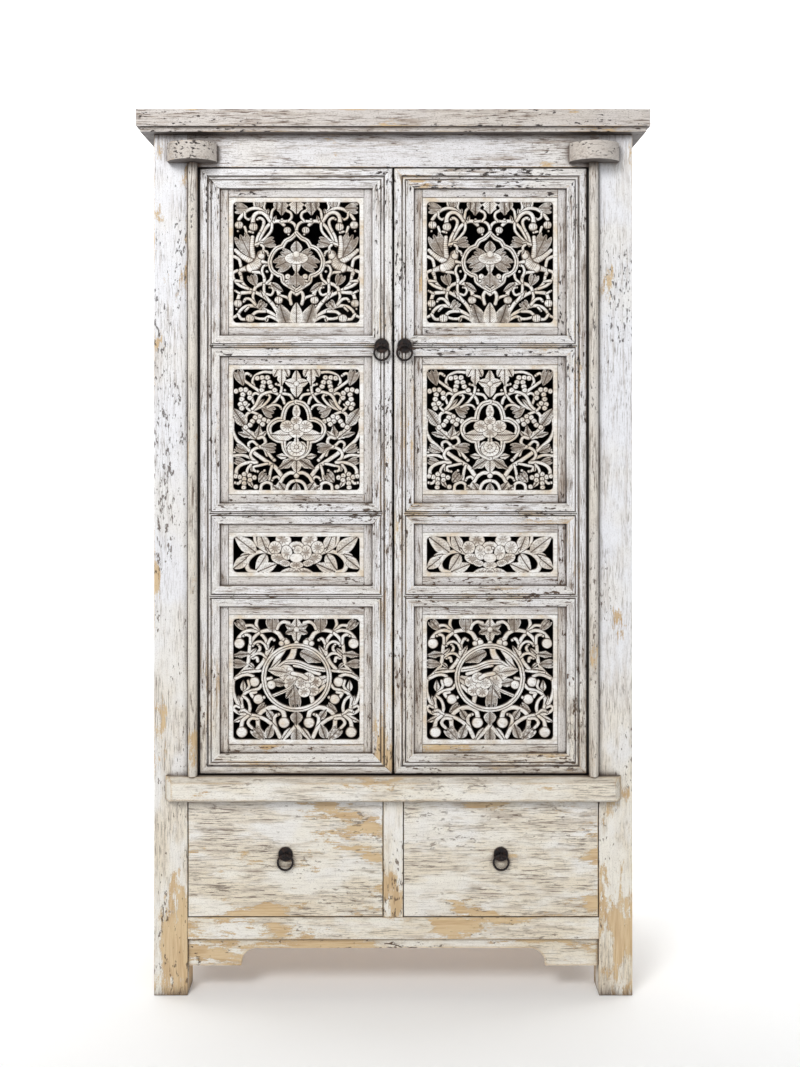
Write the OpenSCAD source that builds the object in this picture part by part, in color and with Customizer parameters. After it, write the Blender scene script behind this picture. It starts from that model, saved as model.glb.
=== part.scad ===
// Two-door carved armoire with two drawers: a framed carcass, pierced fret doors that
// turn on round pivot rods, and ring pulls that hang from iron eyes.
// Frame: +Z up, front faces -Y, origin on the floor under the middle of the outer box.
// Depths are written as d, measured back from the front face of the front legs.

/* [Overall] */
// Height from the floor to the top of the top board
total_h = 1816; // [1800:2:1840]
// Width over the legs
body_w = 984; // [970:2:1000]
// Depth from the front legs' face to the back
body_d = 450; // [430:5:520]
// How far the top board stands past the front and the sides
overhang = 31; // [31:1:40]

/* [Carcass] */
// Width of a front leg as seen from the front
leg_w = 69; // [68:1:72]
// Depth of a front leg
leg_d = 66; // [60:1:70]
// Width of a back leg
back_leg_w = 60; // [55:1:65]
// Depth of a back leg
back_leg_d = 50; // [45:1:55]
// Thickness of the top board's upper slab
top_slab_t = 35; // [30:1:36]
// Thickness of the bead under the top board's edge
top_bead_t = 10; // [8:1:12]
// Height of the sill rail under the doors
sill_h = 49; // [45:1:52]
// How far the sill stands in front of the legs
sill_proud = 22; // [22:1:26]
// How far the middle of a bowed pivot block stands in front of the legs
block_proud = 48; // [44:1:50]
// How far its two ends stand in front of the legs
block_end_t = 18; // [15:1:22]
// Chamfer along the sill's front edges
sill_chamfer = 10; // [8:1:10]
// Height of the bottom rail
bottom_rail_h = 45; // [40:1:50]
// Width of the post between the drawers
divider_w = 40; // [38:1:44]
// Thickness of the thin side and back panels
panel_t = 10; // [8:1:12]
// Thickness of a shelf
shelf_t = 18; // [15:1:22]

/* [Doors] */
// Thickness of the door frame
door_t = 28; // [26:1:28]
// Gap between the two doors
door_gap = 4; // [3:1:5]
// Width of the stiles and of the top and bottom rails
edge_w = 41; // [40:0.5:41.5]
// Width of the rails between the panels
mid_rail_w = 43; // [42:0.5:43]
// Width of the flat strips that hold a fret panel
strip_w = 17; // [15:0.5:17]
// Height of the three square fret panels
fret_h = 268.5; // [262:0.5:268.5]
// Height of the narrow fret panel
narrow_h = 93; // [88:1:93]
// Thickness of a fret panel
fret_t = 12; // [10:1:12]
// Border left round the piercing of a fret panel
fret_border = 9.5; // [8:0.5:11]
// Radius of the round pivot rods
rod_r = 9.75; // [9:0.25:10.5]
// Radius of the turned pins at the rods' ends
pin_r = 5; // [4:0.5:5]

/* [Drawers] */
// Thickness of a drawer front
drawer_front_t = 20; // [18:1:22]
// Thickness of the drawer's other boards
drawer_board_t = 12; // [10:1:14]
// Height of the drawer sides
drawer_side_h = 232; // [200:4:232]

/* [Ring pulls] */
// Outer radius of a pull's round plate
plate_r = 14.5; // [13:0.5:16]
// Radius of the ring's centre line
ring_r = 15.3; // [14:0.1:18]
// Radius of the ring's wire
ring_wire_r = 2.2; // [1.4:0.1:2.3]

/* [Hidden] */
$fn = 48;

white_paint = [0.88, 0.86, 0.82];
bare_wood = [0.78, 0.63, 0.43];
dark_wood = [0.16, 0.12, 0.10];
black_iron = [0.13, 0.11, 0.11];

// Derived places
front_y = (block_proud - body_d) / 2;
body_x = body_w / 2;
open_x = body_x - leg_w;
back_open_x = body_x - back_leg_w;
top_z = total_h - top_slab_t - top_bead_t;
lintel_z = top_z - 67;
rail_t = 24;
rail_inset = 8;
side_rail_x = body_x - rail_inset - rail_t;
panel_x = body_x - rail_inset - (rail_t + panel_t) / 2;
back_rail_d = body_d - rail_inset - rail_t + 2;
panel_back_d = back_rail_d + (rail_t - panel_t) / 2;

// Heights of the lower part
bottom_rail_z = 116;
drawer_z0 = bottom_rail_z + bottom_rail_h;
drawer_z1 = drawer_z0 + 243;
sill_z1 = drawer_z1 + sill_h;

// Pivot
rod_x = open_x - 1.75 - rod_r;
rod_d = -6;
pin_play = 0.05;
block_z0 = lintel_z + 8;
block_h = 37;
block_half_w = 50;
rod_z0 = sill_z1 + 0.5;
rod_z1 = block_z0 - 0.8;

// Door leaf
door_z0 = sill_z1 + 3;
door_x0 = door_gap / 2;
door_x1 = rod_x - rod_r - 3.75;
fret_w = door_x1 - door_x0 - 2 * (edge_w + strip_w);
fret_heights = [fret_h, narrow_h, fret_h, fret_h];
function panel_z(i) = i == 0 ? door_z0 + edge_w
    : panel_z(i - 1) + fret_heights[i - 1] + 2 * strip_w + mid_rail_w;
door_z1 = panel_z(3) + fret_h + 2 * strip_w + edge_w;
strip_d = 8;
fret_d = 9.5;

// Ring pulls
plate_t = 2;
eye_r = 3.8;
eye_wire_r = 1.2;
eye_d = -(plate_t + eye_r + eye_wire_r + 0.1);
shank_r = 1.6;
shank_len = 16;
door_pull = [23.5, door_z0 + 881];
drawer_x0 = divider_w / 2;
drawer_pull = [(drawer_x0 + open_x) / 2, drawer_z0 + 130];

// Drawers
drawer_play = 2;
drawer_depth = 385;

// ---------- helpers ----------

// A box from ranges along x, depth d and height z
module slab(x, d, z) {
    translate([x[0], front_y + d[0], z[0]])
        cube([x[1] - x[0], d[1] - d[0], z[1] - z[0]]);
}

// Everything is drawn on the right; the left side is its mirror image
module on_side(side) {
    if (side == "left") mirror([1, 0, 0]) children();
    else children();
}

// Turns an outline drawn as [x, z] into a plate from depth d0 to d1
module elevation(d0, d1) {
    translate([0, front_y + d1, 0]) rotate([90, 0, 0])
        linear_extrude(d1 - d0) children();
}

// Points of an arc
function arc(cx, cy, r, a0, a1, n) =
    [for (i = [0 : n]) let (a = a0 + (a1 - a0) * i / n) [cx + r * cos(a), cy + r * sin(a)]];

// ---------- carcass ----------

module front_leg(side) color(white_paint) on_side(side)
    slab([open_x, body_x], [0, leg_d], [0, top_z]);

module back_leg(side) color(white_paint) on_side(side)
    slab([back_open_x, body_x], [body_d - back_leg_d, body_d], [0, top_z]);

module top_board() color(white_paint) {
    x = body_x + overhang;
    bead_x = x - 7;
    slab([-x, x], [-overhang, body_d], [top_z + top_bead_t, total_h]);
    slab([-bead_x, bead_x], [7 - overhang, body_d], [top_z, top_z + top_bead_t]);
}

module rod_bore(z0, z1, r) {
    translate([rod_x, front_y + rod_d, z0]) cylinder(r = r, h = z1 - z0);
}

module lintel() color(white_paint) difference() {
    slab([-open_x, open_x], [0, 30], [lintel_z, top_z]);
    for (side = ["left", "right"]) on_side(side) {
        rod_bore(lintel_z - 1, block_z0 + 1, rod_r + 0.75);
        slab([rod_x, open_x + 1], [-1, -rod_d], [lintel_z - 1, block_z0 + 1]);
    }
}

// The strip behind the lintel that the doors close on
module door_stop() color(dark_wood)
    slab([-open_x, open_x], [30, 44], [door_z1 - 12, top_z]);

// Bowed block that holds the top of a pivot rod
module pivot_block(side) color(white_paint) on_side(side) {
    bow = block_proud - block_end_t;
    bow_r = (block_half_w * block_half_w + bow * bow) / (2 * bow);
    difference() {
        intersection() {
            translate([rod_x, front_y - block_proud + bow_r, block_z0])
                cylinder(r = bow_r, h = block_h);
            slab([rod_x - block_half_w, rod_x + block_half_w], [-block_proud, 0],
                 [block_z0, block_z0 + block_h]);
        }
        rod_bore(block_z0 - 1, block_z0 + 22, pin_r + pin_play);
    }
}

// The sill overlaps the legs' faces and carries the lower pivots
module sill() color(white_paint) {
    face_x = body_x - 24;
    z0 = drawer_z1;
    c = sill_chamfer;
    section = [[0, 0], [-sill_proud + 4, 0], [-sill_proud, 4],
               [-sill_proud, sill_h - c], [-sill_proud + c, sill_h], [0, sill_h]];
    plan = [[-face_x, 0], [-face_x + 15, -sill_proud], [face_x - 15, -sill_proud], [face_x, 0]];
    difference() {
        union() {
            intersection() {
                translate([-face_x, front_y, z0]) rotate([90, 0, 90])
                    linear_extrude(2 * face_x) polygon(section);
                translate([0, front_y, z0]) linear_extrude(sill_h) polygon(plan);
            }
            slab([-open_x, open_x], [0, 58], [z0, sill_z1]);
        }
        for (side = ["left", "right"]) on_side(side)
            rod_bore(sill_z1 - 16, sill_z1 + 1, pin_r + pin_play);
    }
}

module drawer_divider() color(white_paint)
    slab([-divider_w / 2, divider_w / 2], [0, 45], [drawer_z0, drawer_z1]);

module bottom_rail() color(white_paint)
    slab([-open_x, open_x], [0, 45], [bottom_rail_z, drawer_z0]);

module front_apron() color(white_paint) {
    drop_x = 313;
    cove_r = 31.5;
    drop_z = 59;
    cove_z = drop_z + 4.5;
    half = concat([[open_x, bottom_rail_z], [open_x, drop_z], [drop_x, drop_z]],
                  arc(drop_x - cove_r, cove_z, cove_r, 0, 90, 9));
    mirrored = [for (i = [len(half) - 1 : -1 : 0]) [-half[i][0], half[i][1]]];
    elevation(6, 24) polygon(concat(half, mirrored));
}

module side_aprons() color(white_paint) for (side = ["left", "right"]) on_side(side)
    slab([body_x - rail_inset - 18, body_x - rail_inset], [leg_d, body_d - back_leg_d],
         [bottom_rail_z - 40, bottom_rail_z]);

// Top, middle and bottom rail of one side
module side_rails(side) color(white_paint) on_side(side)
    for (z = [[top_z - 60, top_z], [drawer_z1, sill_z1], [bottom_rail_z, drawer_z0]])
        slab([side_rail_x, side_rail_x + rail_t], [leg_d, body_d - back_leg_d], z);

module side_panels(side) color(white_paint) on_side(side)
    for (z = [[sill_z1, top_z - 60], [drawer_z0, drawer_z1]])
        slab([panel_x, panel_x + panel_t], [leg_d, body_d - back_leg_d], z);

module back_rails() color(bare_wood)
    for (z = [[top_z - 60, top_z], [drawer_z1, sill_z1], [bottom_rail_z, drawer_z0]])
        slab([-back_open_x, back_open_x], [back_rail_d, back_rail_d + rail_t], z);

module back_panels() color(bare_wood)
    for (z = [[sill_z1, top_z - 60], [drawer_z0, drawer_z1]])
        slab([-back_open_x, back_open_x], [panel_back_d, panel_back_d + panel_t], z);

// Board over the drawers; its front edge also stops the doors
module cupboard_floor() color(dark_wood) difference() {
    slab([-panel_x, panel_x], [30, panel_back_d], [sill_z1, sill_z1 + 16]);
    for (side = ["left", "right"]) on_side(side) {
        slab([open_x, panel_x + 1], [29, leg_d], [sill_z1 - 1, sill_z1 + 17]);
        slab([back_open_x, panel_x + 1], [body_d - back_leg_d, body_d],
             [sill_z1 - 1, sill_z1 + 17]);
    }
}

// The shelves stand level with the doors' second and third mid rails
shelf_zs = [for (i = [2, 3]) mid_rail_z(i) + (mid_rail_w - shelf_t) / 2];
module shelf(i) color(dark_wood)
    slab([-panel_x, panel_x], [leg_d + 2, body_d - back_leg_d - 2],
         [shelf_zs[i], shelf_zs[i] + shelf_t]);

module shelf_bearers() color(dark_wood) for (side = ["left", "right"], z = shelf_zs)
    on_side(side) slab([panel_x - 18, panel_x], [leg_d, body_d - back_leg_d], [z - 22, z]);

// Boards that the drawers slide on, from the bottom rail to the back rail
module drawer_runners() color(bare_wood) {
    z = [drawer_z0 - 18, drawer_z0];
    slab([-30, 30], [45, back_rail_d], z);
    for (side = ["left", "right"]) on_side(side)
        slab([open_x - 26, side_rail_x], [leg_d, body_d - back_leg_d], z);
}

module drawer_guides() color(bare_wood) {
    z = [drawer_z0, drawer_z0 + 20];
    slab([-divider_w / 2 + 1, divider_w / 2 - 1], [45, back_rail_d], z);
    for (side = ["left", "right"]) on_side(side)
        slab([open_x - 1, side_rail_x], [leg_d, body_d - back_leg_d], z);
}

// Strips that keep a pulled-out drawer from tipping
module drawer_kickers() color(bare_wood) {
    z = [drawer_z1, drawer_z1 + 20];
    slab([-30, 30], [58, back_rail_d], z);
    for (side = ["left", "right"]) on_side(side)
        slab([open_x - 26, side_rail_x], [leg_d, body_d - back_leg_d], z);
}

// ---------- door frame ----------

// Mouldings are drawn as [distance from the panel, depth].
// A rounded bead from u0 to u1 that rises out of depth d0
function bead(u0, u1, d0) =
    [for (a = [0 : 22.5 : 180]) [(u0 + u1) / 2 - (u1 - u0) / 2 * cos(a), d0 - 1.9 * sin(a)]];

// The lip at the panel, the wide sloping face and a groove
lip = [[0, door_t], [0, 5.2], [0.7, 3], [2.4, 1.9], [4.4, 2.2], [5.8, 3.2], [11, 2.3],
       [16.2, 0.9], [16.8, 3.2], [18, 3.2]];
edge_section = concat(lip, bead(18.2, 23.4, 2.6),
    [[24, 3], [25.6, 3], [26.4, 0], [edge_w - 1.5, 0], [edge_w, 1.5], [edge_w, door_t]]);
rail_half = concat(lip, bead(18.2, mid_rail_w / 2 - 0.4, 2.4), [[mid_rail_w / 2, 3]]);
mid_section = concat(rail_half,
    [for (i = [len(rail_half) - 2 : -1 : 0]) [mid_rail_w - rail_half[i][0], rail_half[i][1]]]);

// A moulding upright: [u, d] section with u along +x from x0, dir 1 or -1
module upright(section, x0, dir, z0, z1) {
    translate([x0, front_y, z0]) mirror([dir < 0 ? 1 : 0, 0, 0])
        linear_extrude(z1 - z0) polygon(section);
}

// A lying moulding: u along +z from z0, dir 1 or -1
module lying(section, z0, dir, x0, x1) {
    translate([x0, front_y, z0]) mirror([0, 0, dir < 0 ? 1 : 0])
        rotate([90, 0, 90]) linear_extrude(x1 - x0)
            polygon([for (p = section) [p[1], p[0]]]);
}

inner_x = door_x0 + edge_w;
outer_x = door_x1 - edge_w;
function mid_rail_z(i) = panel_z(i) - mid_rail_w;

// Outline of rail i of a door with its pointed ends; rails 0 and 4 are mitred
module rail_outline(i) {
    h = mid_rail_w / 2;
    if (i == 0)
        polygon([[door_x0, door_z0], [door_x1, door_z0],
                 [outer_x, door_z0 + edge_w], [inner_x, door_z0 + edge_w]]);
    else if (i == 4)
        polygon([[door_x0, door_z1], [inner_x, door_z1 - edge_w],
                 [outer_x, door_z1 - edge_w], [door_x1, door_z1]]);
    else {
        z = mid_rail_z(i);
        polygon([[inner_x, z], [outer_x, z], [outer_x + h, z + h],
                 [outer_x, z + 2 * h], [inner_x, z + 2 * h], [inner_x - h, z + h]]);
    }
}

module pull_bore(at) {
    translate([at[0], front_y - 1, at[1]]) rotate([-90, 0, 0])
        cylinder(r = shank_r, h = shank_len + 1);
}

module door_rails(side) color(white_paint) on_side(side) difference() {
    union() for (i = [0 : 4]) intersection() {
        elevation(-1, door_t + 1) rail_outline(i);
        if (i == 0) lying(edge_section, door_z0 + edge_w, -1, door_x0, door_x1);
        else if (i == 4) lying(edge_section, door_z1 - edge_w, 1, door_x0, door_x1);
        else lying(mid_section, mid_rail_z(i), 1, door_x0, door_x1);
    }
    pull_bore(door_pull);
}

module rail_notches() elevation(-1, door_t + 1) for (i = [0 : 4]) rail_outline(i);

module inner_stile(side) color(white_paint) on_side(side) difference() {
    upright(edge_section, inner_x, -1, door_z0, door_z1);
    rail_notches();
    pull_bore(door_pull);
}

// The outer stile has a wing behind the rod, coved to seat it
module outer_stile(side) color(white_paint) on_side(side) difference() {
    union() {
        difference() {
            upright(edge_section, outer_x, 1, door_z0, door_z1);
            rail_notches();
        }
        slab([door_x1 - 0.01, rod_x + 7], [6, door_t], [door_z0, door_z1]);
    }
    translate([rod_x, front_y + rod_d, door_z0 - 1])
        cylinder(r = rod_r, h = door_z1 - door_z0 + 2);
}

// Four butted strips round each fret panel
module door_strips(side) color(white_paint) on_side(side) for (i = [0 : 3]) {
    z0 = panel_z(i);
    z1 = z0 + fret_heights[i] + 2 * strip_w;
    seam = 0.2;
    d = [strip_d, strip_d + 13];
    for (x = [inner_x, outer_x - strip_w]) slab([x, x + strip_w], d, [z0, z1]);
    for (z = [z0, z1 - strip_w])
        slab([inner_x + strip_w + seam, outer_x - strip_w - seam], d, [z, z + strip_w]);
}

// ---------- fret panels ----------

module ring_2d(x, z, r, w = 6) translate([x, z]) difference() {
    circle(r = r + w / 2);
    circle(r = r - w / 2);
}

// A pierced plate: border plus the pattern given as children, centred on the panel
module fret(side, i) color(white_paint) on_side(side) {
    h = fret_heights[i];
    hole = [fret_w - 2 * fret_border, h - 2 * fret_border];
    translate([(door_x0 + door_x1) / 2, 0, panel_z(i) + strip_w + h / 2])
        elevation(fret_d, fret_d + fret_t) union() {
            difference() {
                square([fret_w, h], center = true);
                square(hole, center = true);
            }
            children();
        }
}

// Scroll rings down both sides of a square panel
module side_scrolls(x, r) for (s = [-1, 1], k = [-1.5, -0.5, 0.5, 1.5])
    ring_2d(s * x, k * 60, r);

module fret_birds(side) fret(side, 3) {
    ring_2d(0, 0, 52, 9);
    for (s = [-1, 1]) {
        ring_2d(0, s * 88, 35.5);
        ring_2d(s * 54, s * 78, 27);
        ring_2d(-s * 54, s * 78, 27);
    }
    side_scrolls(100, 31);
}

module fret_quatrefoil(side) fret(side, 2) {
    for (a = [0 : 90 : 270]) rotate(a) ring_2d(28, 0, 27, 8);
    for (s = [-1, 1]) {
        ring_2d(0, s * 89, 35.5);
        ring_2d(s * 54, s * 74, 27);
        ring_2d(-s * 54, s * 74, 27);
        ring_2d(s * 66, 0, 13);
    }
    side_scrolls(100, 31);
}

module fret_peony(side) fret(side, 1) {
    circle(r = 27);
    for (s = [-1, 1]) {
        ring_2d(s * 46, 0, 25);
        ring_2d(s * 84, 0, 28);
        ring_2d(s * 116, 0, 18);
    }
    square([16, narrow_h - 4], center = true);
}

module fret_roundel(side) fret(side, 0) {
    ring_2d(0, 0, 61, 10);
    for (a = [30 : 60 : 330]) rotate(a) ring_2d(33, 0, 24, 5);
    for (s = [-1, 1]) {
        ring_2d(0, s * 94, 31);
        ring_2d(s * 60, s * 88, 29);
        ring_2d(-s * 60, s * 88, 29);
    }
    side_scrolls(103, 30.5);
}

// ---------- pivot rods ----------

module pivot_rod(side) color(white_paint) on_side(side) translate([rod_x, front_y + rod_d, 0]) {
    translate([0, 0, rod_z0 - 14]) cylinder(r = pin_r, h = 15);
    translate([0, 0, rod_z0]) cylinder(r = rod_r, h = rod_z1 - rod_z0);
    translate([0, 0, rod_z1 - 1]) cylinder(r = pin_r, h = 20);
}

// ---------- ring pulls ----------

// Round plate, and the eye whose shank passes through it into the wood
module pull_plate(side, at, d) color(black_iron) on_side(side)
    translate([at[0], front_y + d, at[1]]) {
        rotate([90, 0, 0]) difference() {
            cylinder(r = plate_r, h = plate_t);
            translate([0, 0, -1]) cylinder(r = shank_r + 0.15, h = plate_t + 2);
        }
        translate([0, eye_d, 0]) rotate([0, 90, 0])
            rotate_extrude() translate([eye_r, 0]) circle(r = eye_wire_r);
        translate([0, eye_d + eye_r, 0]) rotate([-90, 0, 0])
            cylinder(r = shank_r, h = shank_len - eye_d - eye_r);
    }

module pull_ring(side, at, d) color(black_iron) on_side(side)
    translate([at[0], front_y + d + eye_d, at[1] - ring_r]) rotate([90, 0, 0])
        rotate_extrude() translate([ring_r, 0]) circle(r = ring_wire_r);

// ---------- drawers ----------

drawer_face_d = 1;
box_x = [drawer_x0 + drawer_play, open_x - drawer_play];
box_z = [drawer_z0 + 0.5, drawer_z0 + 0.5 + drawer_side_h];
box_d = [drawer_face_d + drawer_front_t, drawer_face_d + drawer_front_t + drawer_depth];

module drawer_front(side) color(white_paint) on_side(side) difference() {
    slab([drawer_x0 + drawer_play, open_x - drawer_play],
         [drawer_face_d, drawer_face_d + drawer_front_t],
         [drawer_z0 + drawer_play, drawer_z1 - drawer_play]);
    translate([drawer_pull[0], front_y + drawer_face_d - 1, drawer_pull[1]])
        rotate([-90, 0, 0]) cylinder(r = shank_r, h = shank_len + 1);
}

// The two sides and the back, kept apart by hairline seams
module drawer_box(side) color(bare_wood) on_side(side) {
    t = drawer_board_t;
    seam = 0.2;
    for (x = [box_x[0], box_x[1] - t]) slab([x, x + t], box_d, box_z);
    slab([box_x[0] + t + seam, box_x[1] - t - seam], [box_d[1] - t, box_d[1]], box_z);
}

module drawer_bottom(side) color(bare_wood) on_side(side)
    slab([box_x[0] + drawer_board_t, box_x[1] - drawer_board_t],
         [box_d[0], box_d[1] - drawer_board_t], [box_z[0] + 8, box_z[0] + 16]);

// ---------- nodes ----------

front_leg("left");  // left_front_leg
front_leg("right");  // right_front_leg
back_leg("left");  // left_back_leg
back_leg("right");  // right_back_leg
top_board();
lintel();
door_stop();
pivot_block("left");  // left_pivot_block
pivot_block("right");  // right_pivot_block
sill();
drawer_divider();
bottom_rail();
front_apron();
side_aprons();
side_rails("left");  // left_side_rails
side_rails("right");  // right_side_rails
side_panels("left");  // left_side_panels
side_panels("right");  // right_side_panels
back_rails();
back_panels();
cupboard_floor();
shelf(0);  // lower_shelf
shelf(1);  // upper_shelf
shelf_bearers();
drawer_runners();
drawer_guides();
drawer_kickers();
for (side = ["left", "right"]) {
    outer_stile(side);
    inner_stile(side);
    door_rails(side);
    door_strips(side);
    fret_birds(side);
    fret_quatrefoil(side);
    fret_peony(side);
    fret_roundel(side);
    pivot_rod(side);
    pull_plate(side, door_pull, 0);
    pull_ring(side, door_pull, 0);
    drawer_front(side);
    drawer_box(side);
    drawer_bottom(side);
    pull_plate(side, drawer_pull, drawer_face_d);
    pull_ring(side, drawer_pull, drawer_face_d);
}
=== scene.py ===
import math

import bmesh
import bpy
import numpy as np
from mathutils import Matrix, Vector, geometry


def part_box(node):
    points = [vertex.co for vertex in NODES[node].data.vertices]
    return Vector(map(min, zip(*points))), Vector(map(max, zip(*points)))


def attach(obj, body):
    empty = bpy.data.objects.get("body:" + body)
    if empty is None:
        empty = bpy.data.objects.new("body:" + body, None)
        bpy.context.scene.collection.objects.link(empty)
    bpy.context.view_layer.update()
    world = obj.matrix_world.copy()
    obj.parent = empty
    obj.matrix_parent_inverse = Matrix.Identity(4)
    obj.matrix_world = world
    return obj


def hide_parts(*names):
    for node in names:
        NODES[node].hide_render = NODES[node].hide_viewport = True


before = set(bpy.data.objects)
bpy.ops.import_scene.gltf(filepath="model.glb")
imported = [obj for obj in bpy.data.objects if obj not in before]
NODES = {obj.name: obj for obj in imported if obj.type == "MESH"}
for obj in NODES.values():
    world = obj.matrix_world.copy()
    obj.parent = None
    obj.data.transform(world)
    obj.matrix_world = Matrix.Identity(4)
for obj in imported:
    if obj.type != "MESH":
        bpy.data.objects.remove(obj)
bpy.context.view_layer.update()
MM = 0.001
SIDES = {"left": -1, "right": 1}

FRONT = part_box("lintel")[0].y
OPENING_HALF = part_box("lintel")[1].x
SILL_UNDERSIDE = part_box("sill")[0].z
TOP_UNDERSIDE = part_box("top_board")[0].z
DOOR_RAIL_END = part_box("right_door_rails")[1].x
FRET_LOW, FRET_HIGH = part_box("right_fret_birds")
FRET_X = (FRET_LOW.x + FRET_HIGH.x) / 2
FRET_HALF = (FRET_HIGH.x - FRET_LOW.x) / 2
# y over which a face comes to count as one of the back's
BACK_PART = (0.10, 0.12)


# ---------------------------------------------------------------- materials

def srgb(r, g, b):
    """A display colour, 0 to 255, as the linear colour that shaders take."""
    linear = [v / 255 / 12.92 if v <= 10 else ((v / 255 + 0.055) / 1.055) ** 2.4 for v in (r, g, b)]
    return (*linear, 1.0)


class Tree:
    """Builds one material's node tree, a line of code per node."""

    def __init__(self, name):
        self.material = bpy.data.materials.new(name)
        self.material.use_nodes = True
        self.nodes = self.material.node_tree.nodes
        self.links = self.material.node_tree.links
        self.nodes.clear()
        self.shader = self.nodes.new("ShaderNodeBsdfPrincipled")
        out = self.nodes.new("ShaderNodeOutputMaterial")
        self.links.new(self.shader.outputs[0], out.inputs[0])
        at = self.nodes.new("ShaderNodeTexCoord")
        self.place = at.outputs["Object"]
        self.normal = at.outputs["Normal"]

    def put(self, socket, value):
        if isinstance(value, bpy.types.NodeSocket):
            self.links.new(value, socket)
        else:
            socket.default_value = value

    def math(self, op, a, b=0.0, clamp=False):
        node = self.nodes.new("ShaderNodeMath")
        node.operation = op
        node.use_clamp = clamp
        for socket, value in zip(node.inputs, (a, b)):
            self.put(socket, value)
        return node.outputs[0]

    def times(self, a, b, clamp=False):
        return self.math("MULTIPLY", a, b, clamp=clamp)

    def plus(self, a, b, clamp=False):
        return self.math("ADD", a, b, clamp=clamp)

    def minus(self, a, b):
        return self.math("SUBTRACT", a, b)

    def mix(self, amount, a, b):
        node = self.nodes.new("ShaderNodeMix")
        node.data_type = "RGBA"
        self.put(node.inputs[0], amount)
        self.put(node.inputs[6], a)
        self.put(node.inputs[7], b)
        return node.outputs[2]

    def step(self, value, low, high, to_low=0.0, to_high=1.0):
        """A smooth rise from to_low at low to to_high at high."""
        node = self.nodes.new("ShaderNodeMapRange")
        node.interpolation_type = "SMOOTHSTEP"
        for socket, number in zip(node.inputs, (value, low, high, to_low, to_high)):
            self.put(socket, number)
        return node.outputs[0]

    def split(self, vector):
        node = self.nodes.new("ShaderNodeSeparateXYZ")
        self.put(node.inputs[0], vector)
        return node.outputs

    def mapped(self, stretch, shift=0.0):
        node = self.nodes.new("ShaderNodeMapping")
        self.put(node.inputs["Vector"], self.place)
        node.inputs["Location"].default_value = (shift, shift * 1.7, shift * 0.6)
        node.inputs["Scale"].default_value = stretch
        return node.outputs[0]

    def noise(self, stretch, scale, detail=3.0, rough=0.55, shift=0.0, warp=0.0):
        node = self.nodes.new("ShaderNodeTexNoise")
        self.put(node.inputs["Vector"], self.mapped(stretch, shift))
        node.inputs["Scale"].default_value = scale
        node.inputs["Detail"].default_value = detail
        node.inputs["Roughness"].default_value = rough
        node.inputs["Distortion"].default_value = warp
        return node.outputs[0]

    def swapped(self, amount, x, y, z):
        """The place with x and z changed round where amount is 1, so that grain along z runs along x."""
        turned = self.nodes.new("ShaderNodeCombineXYZ")
        for socket, value in zip(turned.inputs, (z, y, x)):
            self.links.new(value, socket)
        node = self.nodes.new("ShaderNodeMix")
        node.data_type = "VECTOR"
        self.links.new(amount, node.inputs[0])
        self.links.new(self.place, node.inputs[4])
        self.links.new(turned.outputs[0], node.inputs[5])
        return node.outputs[1]

    def edge(self, radius):
        """1 on sharp edges, falling to 0 within about radius of them."""
        bevel = self.nodes.new("ShaderNodeBevel")
        bevel.samples = 4
        bevel.inputs[0].default_value = radius
        flat = self.nodes.new("ShaderNodeNewGeometry").outputs["Normal"]
        dot = self.nodes.new("ShaderNodeVectorMath")
        dot.operation = "DOT_PRODUCT"
        self.links.new(bevel.outputs[0], dot.inputs[0])
        self.links.new(flat, dot.inputs[1])
        return self.step(dot.outputs["Value"], 0.999, 0.86)

    def crease(self, reach):
        """1 deep in a corner, falling to 0 at reach from it; it drives the painted shade in corners."""
        node = self.nodes.new("ShaderNodeAmbientOcclusion")
        node.samples = 6
        node.inputs["Distance"].default_value = reach
        return self.step(node.outputs["AO"], 0.93, 0.42)

    def bump(self, height, depth):
        node = self.nodes.new("ShaderNodeBump")
        node.inputs["Distance"].default_value = depth
        self.put(node.inputs["Height"], height)
        self.links.new(node.outputs[0], self.shader.inputs["Normal"])

    def done(self, colour, rough):
        self.put(self.shader.inputs["Base Color"], colour)
        self.put(self.shader.inputs["Roughness"], rough)
        return self.material

    def swing(self, amount, noise):
        """Noise brought to lie about zero, times amount."""
        return self.times(self.minus(noise, 0.5), amount)


# how far noise is stretched along the grain, for fine streaks and for broad patches
ALONG = {"x": (0.06, 1.0, 1.0), "y": (1.0, 0.06, 1.0), "z": (1.0, 1.0, 0.06)}
PATCH = {"x": (0.35, 1.0, 1.0), "y": (1.0, 0.35, 1.0), "z": (1.0, 1.0, 0.35)}

PAINT = srgb(240, 241, 246)
PAINT_WARM = srgb(240, 235, 224)
PAINT_LOW = srgb(228, 216, 194)
PAINT_DRAB = srgb(196, 186, 178)
# near white for the painted highlight along sharp edges
PAINTED_EDGE_HIGHLIGHT = srgb(247, 245, 242)
SMOKE = srgb(172, 158, 146)
SMOKE_DARK = srgb(108, 92, 80)
PINE = srgb(216, 189, 147)
PINE_DARK = srgb(190, 154, 108)
UMBER = srgb(92, 70, 52)
# dark flecks, and painted shade in creases and on what faces down
SOOT_AND_SHADE = srgb(52, 43, 40)
# painted shade in the corners of boards
CORNER_SHADE = srgb(58, 47, 40)
DUST = srgb(172, 158, 140)
# painted shade in wide corners, and the rubbed edges of iron
SMUDGE_AND_SHADE = srgb(112, 96, 86)
# near black: a dark stain inside the cupboard that also stands in for its shade, and painted shade behind the
# rods
DARK_STAIN_AND_SHADE = srgb(26, 22, 21)


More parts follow.
